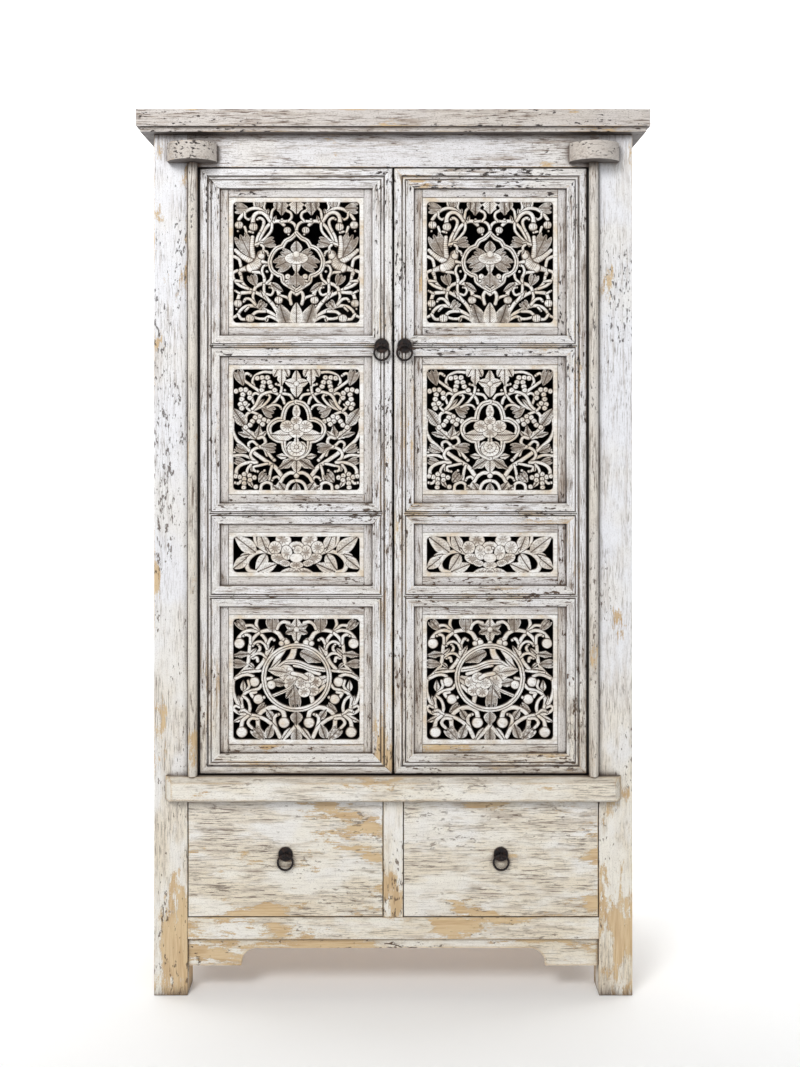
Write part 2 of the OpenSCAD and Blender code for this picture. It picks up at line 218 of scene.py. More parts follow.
def cupboard_inside(t):
    """1 on the faces that look into the cupboard, which are stained near black; the near black also stands in
    for the shade inside the cupboard.
    """
    x, y, z = t.split(t.place)
    facing = t.split(t.normal)
    behind_front = t.step(y, FRONT + 0.001, FRONT + 0.0025)
    between_posts = t.step(t.math("ABSOLUTE", x), OPENING_HALF + 0.0025, OPENING_HALF + 0.0005)
    within = t.times(behind_front, between_posts)
    inward = t.step(t.times(t.math("SIGN", x), facing[0]), -0.5, -0.8)
    corner = t.times(t.step(facing[1], -0.5, -0.8), t.step(y, *BACK_PART))
    deep = t.math("MAXIMUM", within, t.times(inward, behind_front))
    deep = t.math("MAXIMUM", deep, corner)
    over_sill = t.step(z, SILL_UNDERSIDE + 0.001, SILL_UNDERSIDE + 0.005)
    under_top = t.step(z, TOP_UNDERSIDE + 0.0105, TOP_UNDERSIDE + 0.0095)
    deep = t.times(deep, t.times(over_sill, under_top))
    outward = t.times(t.step(facing[1], 0.5, 0.8), t.step(y, *BACK_PART))
    return t.times(deep, t.minus(1.0, outward))


def wood_colour(t, grain, light, dark, shift=0.0):
    """Bare wood, long rings with finer fibres over them, and the height of its grain."""
    stretch = ALONG[grain]
    rings = t.noise(stretch, 26, 2.5, 0.5, shift + 3.1, 1.2)
    waves = t.math("SINE", t.times(rings, 42.0))
    fibre = t.noise(stretch, 420, 2.0, 0.6, shift + 5.7)
    amount = t.plus(t.step(waves, -0.6, 1.0, 0.0, 0.5), t.step(fibre, 0.42, 0.70, 0.0, 0.5), clamp=True)
    return t.mix(amount, light, dark), t.plus(rings, fibre)


class Whitewash(Tree):
    """Thin old whitewash: streaky along the grain, rubbed off edges and low down, with glazing and painted
    shade in the corners and a painted highlight on sharp edges.

    The numbers in look scale each effect, and PLAIN_LOOK holds their usual values.
    """

    def __init__(self, name, grain, shift, look):
        super().__init__(name)
        self.grain = grain
        self.shift = shift
        self.look = look
        x, y, self.z = self.split(self.place)
        self.out = self.math("ABSOLUTE", x)
        self.up = self.split(self.normal)[2]
        if grain == "strips":
            self.grain = "z"
            from_middle = self.math("ABSOLUTE", self.minus(self.out, FRET_X))
            across = self.step(from_middle, FRET_HALF, FRET_HALF - 0.0004)
            self.place = self.swapped(across, x, y, self.z)
        stretch, patch = ALONG[self.grain], PATCH[self.grain]
        self.low = self.step(self.z, 0.95, 0.08)
        self.high = self.step(self.z, 0.6, 1.5)
        self.patchy = self.noise(patch, 20, 4.0, 0.62, shift + 1.3)
        self.broad = self.noise(stretch, 150, 3.0, 0.6, shift + 2.2)
        self.streak = self.noise(stretch, 480, 3.0, 0.68, shift + 3.6)
        self.fine = self.noise(patch, 900, 2.0, 0.6, shift + 4.4)
        # sharp edges: they wear to bare wood, take more flecks and get the painted highlight
        self.rubbed_and_lit_edge = self.edge(look["rub"])

    def wash(self):
        """The paint itself, warmer and yellower low down."""
        cloud = self.noise((1, 1, 1), 6.5, 3.0, 0.55, self.shift)
        warm = self.plus(self.times(self.low, 0.8), self.look["warmth"])
        warm = self.plus(warm, self.step(cloud, 0.42, 0.62, 0.0, 0.4), clamp=True)
        colour = self.mix(warm, PAINT, PAINT_WARM)
        yellowed = self.times(self.low, self.step(self.patchy, 0.42, 0.60, 0.0, 0.9))
        colour = self.mix(yellowed, colour, PAINT_LOW)
        return self.mix(self.look["drab"], colour, PAINT_DRAB)

    def streaks(self, colour):
        """Grey lines along the grain, where the paint lies thin, and a painted highlight along sharp edges.
        """
        amount = self.look["streaks"]
        thin = self.step(self.patchy, 0.40, 0.64, 0.18, 1.0)
        bands = self.times(thin, self.step(self.broad, 0.46, 0.66, 0.0, 0.50 * amount))
        colour = self.mix(bands, colour, SMOKE)
        lines = self.times(self.step(self.streak, 0.52, 0.62),
                          self.step(self.patchy, 0.40, 0.62, 0.22, 1.0))
        colour = self.mix(self.times(lines, 0.66 * amount, clamp=True), colour, SMOKE_DARK)
        colour = self.mix(self.step(self.fine, 0.55, 0.68, 0.0, 0.34 * amount), colour, SMOKE_DARK)
        # painted highlight: sharp edges lightened towards near white
        return self.mix(self.times(self.rubbed_and_lit_edge, self.look["edge_highlight"]), colour, PAINTED_EDGE_HIGHLIGHT)

    def bare_patches(self, colour):
        """Ragged patches of bare pine; also returns where they are."""
        bare = wood_colour(self, self.grain, PINE, PINE_DARK, self.shift)[0]
        bias = self.times(self.low, 0.098)
        bias = self.plus(bias, self.step(self.z, 0.36, 0.04, 0.0, 0.055))
        bias = self.plus(bias, self.step(self.z, 0.16, 0.06, 0.0, 0.03))
        bias = self.plus(bias, self.times(self.rubbed_and_lit_edge, 0.10 * self.look["edge_wear"]))
        ragged = self.plus(self.noise(PATCH[self.grain], 15, 6.0, 0.62, self.shift + 7.9), bias)
        ragged = self.plus(ragged, self.swing(0.17, self.streak))
        ragged = self.plus(ragged, self.swing(0.12, self.fine))
        worn = self.step(ragged, 0.655 - self.look["wear"], 0.675 - self.look["wear"])
        return self.mix(self.times(worn, 0.92), colour, bare), worn

    def chips(self, colour):
        """Dark flecks in crowds, more of them high up and on edges; also returns where they are."""
        patch = PATCH[self.grain]
        spots = self.noise(patch, 190, 3.0, 0.6, self.shift + 9.2)
        crowd = self.noise(patch, 9, 3.0, 0.6, self.shift + 6.1)
        limit = self.step(crowd, 0.38, 0.64, 0.715, 0.585)
        limit = self.minus(limit, self.times(self.high, 0.02))
        limit = self.minus(limit, self.times(self.rubbed_and_lit_edge, 0.05))
        fleck = self.step(self.minus(spots, limit), 0.0, 0.035)
        fleck = self.times(fleck, 0.82 * self.look["flecks"], clamp=True)
        return self.mix(fleck, colour, self.mix(self.high, UMBER, SOOT_AND_SHADE)), fleck

    def dirt(self, colour):
        """Dust on what faces up, damp at the feet, glazing and painted shade in the corners, and painted
        shade on what faces down.
        """
        glaze = self.look["glaze"]
        upward = self.step(self.up, 0.55, 0.90)
        dusty = self.times(upward, self.step(self.patchy, 0.3, 0.6, 0.35, 0.72))
        colour = self.mix(dusty, colour, DUST)
        foot = self.times(self.step(self.z, 0.026, 0.004), self.step(self.streak, 0.42, 0.62))
        colour = self.mix(self.times(foot, 0.7), colour, UMBER)
        # glazing and painted shade: darker in wide corners, in patches
        uneven = self.step(self.patchy, 0.34, 0.62, 0.14 * glaze, 0.66 * glaze)
        shade = self.times(self.crease(0.034), uneven, clamp=True)
        colour = self.mix(shade, colour, SMUDGE_AND_SHADE)
        # glazing and painted shade: darker still in tight creases
        uneven = self.step(self.patchy, 0.30, 0.62, 0.55 * glaze, 0.98 * glaze)
        deep = self.times(self.crease(0.012), uneven, clamp=True)
        colour = self.mix(deep, colour, self.mix(self.step(self.broad, 0.4, 0.6), UMBER, SOOT_AND_SHADE))
        # painted shade: what faces down goes near black
        under = self.step(self.up, -0.55, -0.90)
        return self.mix(self.times(under, 0.85), colour, SOOT_AND_SHADE)


# the painted highlight on sharp edges and the glazing and painted shade in corners each have a scale here;
# rub is how far the worn, highlighted edges reach
PLAIN_LOOK = dict(wear=0.0, flecks=1.0, warmth=0.0, glaze=1.0, streaks=1.0, edge_wear=1.0, drab=0.0,
                  rub=0.004, edge_highlight=0.25)


def painted(name, grain, shift, inner=False, behind_rod=False, **look):
    """Whitewashed pine; inner stains what looks into the cupboard near black, which also stands in for its
    shade, and behind_rod paints shade on what the rod hides.
    """
    t = Whitewash(name, grain, shift, dict(PLAIN_LOOK, **look))
    colour, worn = t.bare_patches(t.streaks(t.wash()))
    colour, fleck = t.chips(colour)
    colour = t.dirt(colour)
    if inner:
        # dark stain and painted shade inside the cupboard
        colour = t.mix(cupboard_inside(t), colour, DARK_STAIN_AND_SHADE)
    if behind_rod:
        # painted shade: the strip of stile behind the rod goes near black, for the dark gap beside it
        rod_gap_shade = t.step(t.out, DOOR_RAIL_END - 0.0008, DOOR_RAIL_END + 0.001, 0.0, 0.95)
        colour = t.mix(rod_gap_shade, colour, DARK_STAIN_AND_SHADE)
    height = t.plus(t.times(t.broad, 0.4), t.times(t.streak, -0.35))
    height = t.minus(height, t.times(worn, 0.24))
    height = t.minus(height, t.times(fleck, 0.5))
    t.bump(height, 0.0014)
    return t.done(colour, t.step(t.streak, 0.3, 0.8, 0.50, 0.72))


def timber(name, grain, light, dark, shift=0.0, inner=False):
    """Bare or stained boards, with raised grain, painted shade in the corners and a painted highlight on
    sharp edges.
    """
    t = Tree(name)
    colour, height = wood_colour(t, grain, light, dark, shift)
    stain = t.noise((1, 1, 1), 7, 4.0, 0.6, shift + 2.0)
    colour = t.mix(t.step(stain, 0.45, 0.72, 0.0, 0.5), colour, dark)
    # painted shade in the corners
    colour = t.mix(t.times(t.crease(0.015), 0.6), colour, CORNER_SHADE)
    # painted highlight: sharp edges lightened
    colour = t.mix(t.times(t.edge(0.0025), 0.35), colour, light)
    if inner:
        # dark stain and painted shade inside the cupboard
        colour = t.mix(cupboard_inside(t), colour, DARK_STAIN_AND_SHADE)
    t.bump(height, 0.0009)
    return t.done(colour, t.step(stain, 0.3, 0.7, 0.56, 0.72))


def glazed_carving(name, shift):
    """Carved wood, whitewashed, with brown glazing left in the hollows, near-black painted shade on the deep
    ground and the sides of the cuts, and painted shade in tight creases.
    """
    t = Tree(name)
    attribute = t.nodes.new("ShaderNodeAttribute")
    attribute.attribute_name = "hollow_glaze_and_shade"
    hollow_glaze_and_shade = attribute.outputs["Fac"]
    facing = t.split(t.normal)
    cloud = t.noise((1, 1, 1), 30, 3.0, 0.55, shift)
    rub = t.noise((0.3, 1, 1), 240, 3.0, 0.65, shift + 1.0)
    speck = t.noise((1, 1, 1), 520, 2.0, 0.6, shift + 3.0)
    colour = t.mix(t.step(cloud, 0.36, 0.64), srgb(248, 246, 243), srgb(232, 223, 211))
    colour = t.mix(t.step(rub, 0.46, 0.66, 0.0, 0.36), colour, srgb(168, 154, 138))
    colour = t.mix(t.step(speck, 0.56, 0.70, 0.0, 0.42), colour, srgb(132, 114, 98))
    uneven = t.plus(hollow_glaze_and_shade, t.swing(0.35, cloud))
    uneven = t.plus(uneven, t.swing(0.30, rub))
    # brown glazing in the hollows, then near-black painted shade where the wood lies deep and on the sides of
    # the cuts
    colour = t.mix(t.step(uneven, 0.10, 0.46, 0.0, 0.90), colour, srgb(116, 97, 80))
    colour = t.mix(t.step(uneven, 0.40, 0.80, 0.0, 0.97), colour, srgb(36, 30, 28))
    # painted shade in the tightest creases
    colour = t.mix(t.times(t.crease(0.007), 0.6), colour, srgb(72, 56, 44))
    rubbed = t.times(t.step(hollow_glaze_and_shade, 0.02, 0.0), t.step(cloud, 0.60, 0.70))
    colour = t.mix(t.times(rubbed, 0.45), colour, PINE)
    behind = t.mix(t.step(rub, 0.4, 0.62), srgb(164, 146, 124), srgb(112, 94, 76))
    colour = t.mix(t.step(facing[1], 0.5, 0.9), colour, behind)
    t.bump(t.plus(speck, rub), 0.0005)
    return t.done(colour, t.step(uneven, 0.1, 0.8, 0.46, 0.72))


def iron(name):
    """Old black iron, pitted, with brown blotches and brighter rubbed edges."""
    t = Tree(name)
    pits = t.noise((1, 1, 1), 900, 3.0, 0.6)
    blotch = t.noise((1, 1, 1), 170, 3.0, 0.55, 2.0)
    colour = t.mix(t.step(blotch, 0.45, 0.68), srgb(38, 35, 36), srgb(66, 50, 44))
    colour = t.mix(t.times(t.edge(0.0008), 0.5), colour, SMUDGE_AND_SHADE)
    colour = t.mix(t.step(pits, 0.60, 0.72, 0.0, 0.7), colour, srgb(14, 13, 14))
    t.bump(pits, 0.0003)
    t.shader.inputs["Metallic"].default_value = 0.65
    return t.done(colour, t.step(blotch, 0.3, 0.7, 0.36, 0.62))


def studio_paper(name, colour):
    """Pale matt paper with a faint glow, so that it stays near white."""
    t = Tree(name)
    haze = t.noise((1, 1, 1), 0.8, 2.0, 0.5)
    material = t.done(t.mix(t.step(haze, 0.3, 0.7, 0.0, 0.25), colour, srgb(236, 236, 236)), 0.85)
    t.shader.inputs["Emission Color"].default_value = (1.0, 1.0, 1.0, 1.0)
    t.shader.inputs["Emission Strength"].default_value = 0.11
    return material


# ---------------------------------------------------------------- carving, in mm

# the grid's pitch, the width over which marks merge, the ground and what lies outside every mark
GRID = 1.0
EDGE_BLEND = 0.9
FLOOR = -4.5
OUTSIDE = -6.0
# how much thicker stems are cut than laid out, points per span of a curve, room round a mark
STEM = 1.5
PER_SPAN = 8
PAD = 3.0
LEAF_TOP = -0.4
FAN_TOP = -0.3


def curve_points(points):
    """Catmull-Rom through the given points; a point given twice makes a corner."""
    p = [np.array(q, float) for q in points]
    if len(p) == 2:
        return np.array([p[0] + (p[1] - p[0]) * t for t in np.linspace(0, 1, PER_SPAN)])
    p = [2 * p[0] - p[1]] + p + [2 * p[-1] - p[-2]]
    out = []
    for a, b, c, d in zip(p, p[1:], p[2:], p[3:]):
        for t in np.arange(PER_SPAN) / PER_SPAN:
            out.append(0.5 * (2 * b + (c - a) * t + (2 * a - 5 * b + 4 * c - d) * t * t
                              + (3 * b - a - 3 * c + d) * t ** 3))
    out.append(p[-2])
    return np.array(out)


class Carving:
    """A height map: inside is the distance in from the nearest cut, relief the height of the wood.

    Marks are stamped one over the other. side -1 mirrors them, tall stretches the layout upwards.
    """

    def __init__(self, width, height):
        nx = int(math.ceil(width / GRID))
        nz = int(math.ceil(height / GRID))
        self.x = np.linspace(-width / 2, width / 2, nx + 1)
        self.z = np.linspace(-height / 2, height / 2, nz + 1)
        self.inside = np.full((nz + 1, nx + 1), OUTSIDE)
        self.relief = np.full((nz + 1, nx + 1), FLOOR)
        self.side = 1
        self.tall = 1.0

    def window(self, x0, x1, z0, z1):
        """The grid's part round a box, PAD wider all round, and its x and z in the layout's own frame."""
        if self.side < 0:
            x0, x1 = -x1, -x0
        i = np.searchsorted(self.x, [x0 - PAD, x1 + PAD])
        j = np.searchsorted(self.z, [(z0 - PAD) * self.tall, (z1 + PAD) * self.tall])
        w = (slice(max(j[0], 0), j[1]), slice(max(i[0], 0), i[1]))
        gx, gz = np.meshgrid(self.x[w[1]] * self.side, self.z[w[0]] / self.tall)
        return w, gx, gz

    def stamp(self, w, dist, relief):
        over = np.clip(dist / EDGE_BLEND + 0.5, 0, 1)
        self.inside[w] = np.maximum(self.inside[w], dist)
        self.relief[w] = self.relief[w] * (1 - over) + relief * over

    def vine(self, points, w0, w1=None, top=-0.6, knob=0.0, ribs=0.0, groove=False):
        """A round stem along a curve; w0 and w1 are its half-widths at the ends, alike if w1 is left out."""
        line = curve_points(points)
        w0, w1 = w0 * STEM, (w1 or w0) * STEM
        lo, hi = line.min(0), line.max(0)
        r = max(w0, w1)
        w, gx, gz = self.window(lo[0] - r, hi[0] + r, lo[1] - r, hi[1] + r)
        best = np.full(gx.shape, 1e9)
        wide = np.full(gx.shape, r)
        along = np.zeros(gx.shape)
        steps = np.r_[0, np.cumsum(np.hypot(*np.diff(line, axis=0).T))]
        for k in range(len(line) - 1):
            a, b = line[k], line[k + 1]
            d = b - a
            t = np.clip(((gx - a[0]) * d[0] + (gz - a[1]) * d[1]) / max(d @ d, 1e-9), 0, 1)
            dist = np.hypot(gx - a[0] - t * d[0], gz - a[1] - t * d[1])
            s = steps[k] + t * (steps[k + 1] - steps[k])
            near = dist < best
            best = np.where(near, dist, best)
            wide = np.where(near, w0 + (w1 - w0) * s / steps[-1], wide)
            along = np.where(near, s, along)
        u = np.clip(best / wide, 0, 1)
        relief = top - 3.2 + 3.2 * np.sqrt(1 - u * u * 0.96)
        if groove:
            relief -= 1.5 * np.exp(-(best / 0.9) ** 2)
        if ribs:
            relief -= 0.7 * (0.5 + 0.5 * np.cos(along / ribs * 2 * math.pi)) * (u < 0.9)
        self.stamp(w, wide - best, relief)
        if knob:
            self.ball(points[-1][0], points[-1][1], knob, top=top)

    def ball(self, x, z, r, top=-0.2, dimple=False, seams=0):
        w, gx, gz = self.window(x - r, x + r, z - r, z + r)
        dist = np.hypot(gx - x, gz - z)
        u = np.clip(dist / r, 0, 1)
        relief = top - 3.6 + 3.6 * np.sqrt(1 - u * u * 0.97)
        if dimple:
            relief -= 1.6 * np.exp(-(dist / 0.9) ** 2)
        if seams:
            relief -= 0.9 * np.exp(-((gx - x) / 0.7) ** 2)
            bulge = r * 0.5 * np.sqrt(1 - np.clip((gz - z) / r, -1, 1) ** 2)
            for s in (-1, 1):
                relief -= 0.8 * np.exp(-((gx - x + s * bulge) / 0.6) ** 2)
        self.stamp(w, r - dist, relief)

    def fruit(self, x, z, r, bead=(0, 0)):
        """A seed pod with sunk seams; bead is the drop under it."""
        self.ball(x, z, r, seams=1)
        if bead != (0, 0):
            self.ball(x + bead[0], z + bead[1], 2.7, top=-0.8)

    def axes(self, base, tip, reach):
        """The window round a leaf, with s from 0 to 1 along it, t across it and its length."""
        (bx, bz), (tx, tz) = base, tip
        dx, dz = tx - bx, tz - bz
        length = math.hypot(dx, dz)
        w, gx, gz = self.window(min(bx, tx) - reach, max(bx, tx) + reach,
                                min(bz, tz) - reach, max(bz, tz) + reach)
        s = ((gx - bx) * dx + (gz - bz) * dz) / (length * length)
        t = (-(gx - bx) * dz + (gz - bz) * dx) / length
        return w, s, t, length

    def leaf(self, base, tip, width, veins=True, lobes=0, skew=0.0, hatch=False):
        """A leaf from base to tip; width is its half-width, lobes makes the rim wavy."""
        w, s, t, n = self.axes(base, tip, width + 2)
        t = t - skew * n * s * (1 - s)
        inner = np.clip(s, 0, 1)
        shape = width * np.sin(math.pi * inner ** 0.75) ** 0.8
        if lobes:
            shape = shape * (0.88 + 0.12 * np.cos(2 * math.pi * lobes * inner))
        dist = np.minimum(shape - np.abs(t), np.minimum(s * n, (1 - s) * n) + 0.3) * 0.75
        edge = np.clip(np.abs(t) / np.maximum(shape, 0.5), 0, 1)
        relief = LEAF_TOP - 1.2 + 1.2 * edge ** 2 - 9.0 * np.clip(edge - 0.82, 0, 1)
        relief -= 1.1 * np.exp(-(t / 0.8) ** 2)
        if hatch:
            relief -= 0.7 * np.clip(np.cos((s * n + t) * 2 * math.pi / 3.4), 0, 1) * (edge < 0.85)
            relief -= 0.7 * np.clip(np.cos((s * n - t) * 2 * math.pi / 3.4), 0, 1) * (edge < 0.85)
        elif veins:
            wave = np.cos((s * n - 1.1 * np.abs(t)) * 2 * math.pi / 4.6)
            relief -= 0.5 * np.clip(wave, 0, 1) * (edge < 0.85)
        self.stamp(w, dist, relief)

    def petal(self, x, z, rx, rz, angle=0.0, top=-0.3, rays=0):
        """A cupped oval petal turned by angle degrees; rays cuts lines that fan from its middle."""
        r = max(rx, rz)
        w, gx, gz = self.window(x - r, x + r, z - r, z + r)
        ca, sa = math.cos(math.radians(angle)), math.sin(math.radians(angle))
        u = ((gx - x) * ca + (gz - z) * sa) / rx
        v = (-(gx - x) * sa + (gz - z) * ca) / rz
        q = np.hypot(u, v)
        dist = (1 - q) * min(rx, rz)
        relief = top - 1.8 * (1 - np.clip(q, 0, 1) ** 2) - 2.6 * np.clip((q - 0.84) / 0.16, 0, 1) ** 2
        if rays:
            fan = np.arctan2(v, u)
            relief -= 0.5 * np.clip(np.cos(fan * rays), 0, 1) * (q > 0.3) * (q < 0.85)
        self.stamp(w, dist, relief)

    def band(self, points, half):
        """A raised flat band with a sunk line along its middle."""
        self.vine(points, half / STEM, top=0.0, groove=True)

    def fan(self, base, tip, width):
        """A leaf that opens from its base to three points, with cross-hatching."""
        w, s, t, n = self.axes(base, tip, width + 2)
        shape = 1.2 + (width - 1.2) * np.sin(math.pi * np.clip(s * 0.72, 0, 1)) ** 0.9
        end = 0.8 + 0.2 * np.abs(np.cos(1.5 * math.pi * np.clip(t / width, -1, 1)))
        dist = np.minimum(shape - np.abs(t), (end - s) * n) * 0.8
        dist = np.minimum(dist, s * n + 0.5)
        rim = np.clip(dist / 2.2, 0, 1)
        relief = FAN_TOP - 2.2 * (1 - rim) ** 2 * (dist < 1.0) - 1.3 * rim
        relief -= 0.8 * np.exp(-(t / 0.8) ** 2)
        cut = np.clip(np.cos((s * n + t) * 2 * math.pi / 3.2), 0, 1)
        cut = np.maximum(cut, np.clip(np.cos((s * n - t) * 2 * math.pi / 3.2), 0, 1))
        relief -= 0.75 * cut * (dist > 1.6)
        self.stamp(w, dist, relief)

    def frame(self, border, corner):
        """The panel's own flat border, with rounded inner corners."""
        hx, hz = self.x[-1] - border, self.z[-1] - border
        gx, gz = np.meshgrid(self.x, self.z)
        qx = np.abs(gx) - (hx - corner)
        qz = np.abs(gz) - (hz - corner)
        out = np.hypot(np.maximum(qx, 0), np.maximum(qz, 0)) + np.minimum(np.maximum(qx, qz), 0) - corner
        rim = np.minimum(self.x[-1] - np.abs(gx), self.z[-1] - np.abs(gz))
        relief = -1.6 * np.exp(-np.maximum(out, 0) / 0.8) - 0.6 * np.exp(-rim / 0.8)
        self.stamp((slice(None), slice(None)), out, relief)


def bird_vines(c):
    # vines of the upper half
    c.vine([(65, 127), (67, 117), (62, 107)], 1.8)
    c.vine([(88, 128), (86, 118)], 1.8, 1.6)
    c.fan((76, 115), (76, 131), 9)
    c.vine([(56, 90), (62, 103), (72, 112), (84, 116), (98, 113), (110, 104), (119, 92)], 2.4, 2.6)
    c.fan((100, 116), (128, 116), 13)
    c.vine([(107, 108), (106, 97), (100, 92), (95, 94)], 1.8, knob=2.4)
    c.vine([(30, 92), (31, 87)], 1.8)
    c.vine([(82, 37), (73, 57), (62, 75), (49, 86), (36, 88), (26, 80)], 2.8, 2.6)
    c.leaf((46, 88), (42, 101), 3.5)
    c.vine([(31, 87), (17, 88), (7, 84), (2, 77), (0, 68)], 2.2)
    c.vine([(19, 110), (12, 106), (10, 97), (16, 88)], 2.2, 2.0)
    c.vine([(54, 86), (52, 100), (50, 110), (44, 117)], 2.4, 1.8, knob=2.2)
    c.vine([(55, 88), (64, 101), (74, 107), (84, 104), (89, 96), (90, 86)], 2.6, 3.2)
    c.leaf((60, 103), (58, 116), 3.5)
    c.vine([(76, 62), (69, 77), (68, 89), (75, 95), (81, 92)], 2.4, 2.2, knob=2.8)
    c.vine([(84, 38), (80, 54), (76, 62)], 2.4)
    c.vine([(51, 84), (52, 69), (60, 57), (71, 46), (80, 40)], 2.0, 2.2)
    c.vine([(86, 38), (69, 42), (55, 38), (44, 33)], 2.2, 2.0)
    c.fan((70, 38), (44, 46), 12)
    c.vine([(73, 38), (68, 33), (68, 25), (61, 23), (58, 15)], 2.2, 1.8, knob=2.4)
    c.vine([(107, 52), (104, 64), (107, 76)], 2.0)
    c.vine([(98, 66), (90, 64)], 1.8, knob=2.0)
    # bird: tail, wings, body, head
    c.vine([(115, -9), (118, 5), (125, 11), (131, 13)], 2.2, 2.6)
    c.vine([(92, -12), (106, -13), (117, -18), (115, -28)], 5.2, 2.6, ribs=3.2)
    c.fan((94, 10), (117, 60), 17)
    c.vine([(90, 12), (92, 34), (91, 54)], 4.2, 3.0, ribs=4.4)
    c.vine([(92, 2), (110, 12), (126, 26)], 5.0, 3.0, ribs=4.4)
    c.vine([(73, 18), (76, 8), (83, -4), (94, -11)], 6.0, 7.5, ribs=3.6)
    c.ball(73, 14, 7.5)
    c.leaf((69, 18), (72, 27), 4.5, veins=False)
    c.vine([(70, 2), (62, 0), (56, -1)], 2.8, 1.4)
    # vines of the lower half
    c.vine([(37, -109), (51, -87), (67, -73), (87, -62), (103, -53), (112, -41), (114, -30)], 3.2, 2.2)
    c.vine([(100, -56), (118, -48), (130, -34), (131, -22), (122, -17)], 2.4)
    c.vine([(112, -40), (126, -39)], 2.0, 2.4)
    c.vine([(88, -63), (103, -64), (116, -66), (121, -78)], 2.4, 2.8)
    c.vine([(117, -66), (127, -60)], 1.8, knob=2.2)
    c.vine([(89, -64), (83, -51), (67, -44), (51, -46), (40, -55), (36, -68)], 2.6, 3.0)
    c.leaf((52, -44), (27, -62), 8, hatch=True, skew=0.15)
    c.vine([(67, -44), (67, -60), (62, -73), (55, -83)], 2.0, 2.2)
    c.vine([(62, -67), (53, -69), (48, -62), (50, -54), (56, -53)], 2.0, 1.6, knob=2.4)
    c.leaf((68, -74), (75, -58), 4)
    c.vine([(66, -42), (67, -30), (74, -22), (90, -20)], 2.4, 2.2)
    c.vine([(62, -44), (53, -35), (50, -24)], 2.2, 2.0)
    c.vine([(67, -31), (71, -19), (68, -8), (61, -6)], 2.2, 1.8, knob=2.4)
    c.ball(61, -19, 2.8)
    c.fan((84, -50), (94, -25), 11)
    c.vine([(37, -123), (49, -110), (65, -101), (85, -93), (103, -93), (115, -101), (121, -111),
            (131, -117)],
           3.0, 2.2)
    c.vine([(121, -110), (114, -120), (104, -121)], 2.2, 2.4)
    c.vine([(75, -98), (86, -87), (90, -73), (88, -64)], 2.6, 2.0)
    c.vine([(85, -90), (94, -79), (104, -77), (109, -83)], 2.4, 2.0, knob=2.8)
    c.fan((78, -98), (66, -83), 10)
    c.vine([(65, -104), (82, -105), (91, -112)], 2.4)
    c.vine([(40, -122), (55, -115), (67, -120), (80, -119), (88, -116)], 2.4, 2.0)
    c.leaf((60, -117), (64, -128), 4)
    c.vine([(99, -95), (106, -103)], 1.8, knob=2.2)
    c.vine([(12, -83), (19, -75), (31, -71), (37, -73)], 2.2, 2.0)
    c.vine([(11, -88), (14, -72), (9, -62), (0, -68)], 2.6)
    # seed pods
    c.fruit(19, 69, 8, (-3, -9))
    c.fruit(89, 76, 9.5, (1, -12))
    c.fruit(119, 80, 9, (2, -13))
    c.fruit(37, -80, 9, (3, -12))
    c.fruit(121, -87, 9, (3, -12))
    c.fruit(96, -119, 9.5)
    # leaves that hang from the top and the lotus below
    c.leaf((29, 134), (31, 100), 14, hatch=True, lobes=3)
    c.leaf((40, 132), (41, 112), 8, hatch=True)
    c.leaf((18, -136), (34, -88), 17, hatch=True, skew=-0.12)


def birds(c):
    for c.side in (1, -1):
        bird_vines(c)
    c.side = 1
    c.leaf((0, 134), (0, 103), 17, lobes=3)
    c.leaf((0, -136), (0, -84), 14)
    # cusped medallion
    for c.side in (1, -1):
        c.band([(0, 63), (11, 52), (22, 46), (29, 35), (29, 35), (42, 29), (51, 16), (55, 0), (50, -17),
                (38, -26),
                (38, -26), (30, -29), (27, -41), (15, -50), (0, -60)], 4.8)
    # its flower
    for c.side in (1, -1):
        c.fan((2, 6), (34, 22), 13)
        c.fan((2, 10), (44, -10), 17)
        c.vine([(0, -22), (9, -36), (22, -40)], 2.4, 2.0)
        c.leaf((0, -34), (26, -33), 5)
        c.ball(18, -30, 6.5, dimple=True)
    c.side = 1
    c.leaf((0, 20), (0, 47), 12, hatch=True)
    c.leaf((0, 6), (0, -24), 9)
    c.fan((0, -24), (0, -53), 19)
    c.petal(0, 9, 25, 13, rays=16)
    c.ball(0, 18, 7, top=0.4)


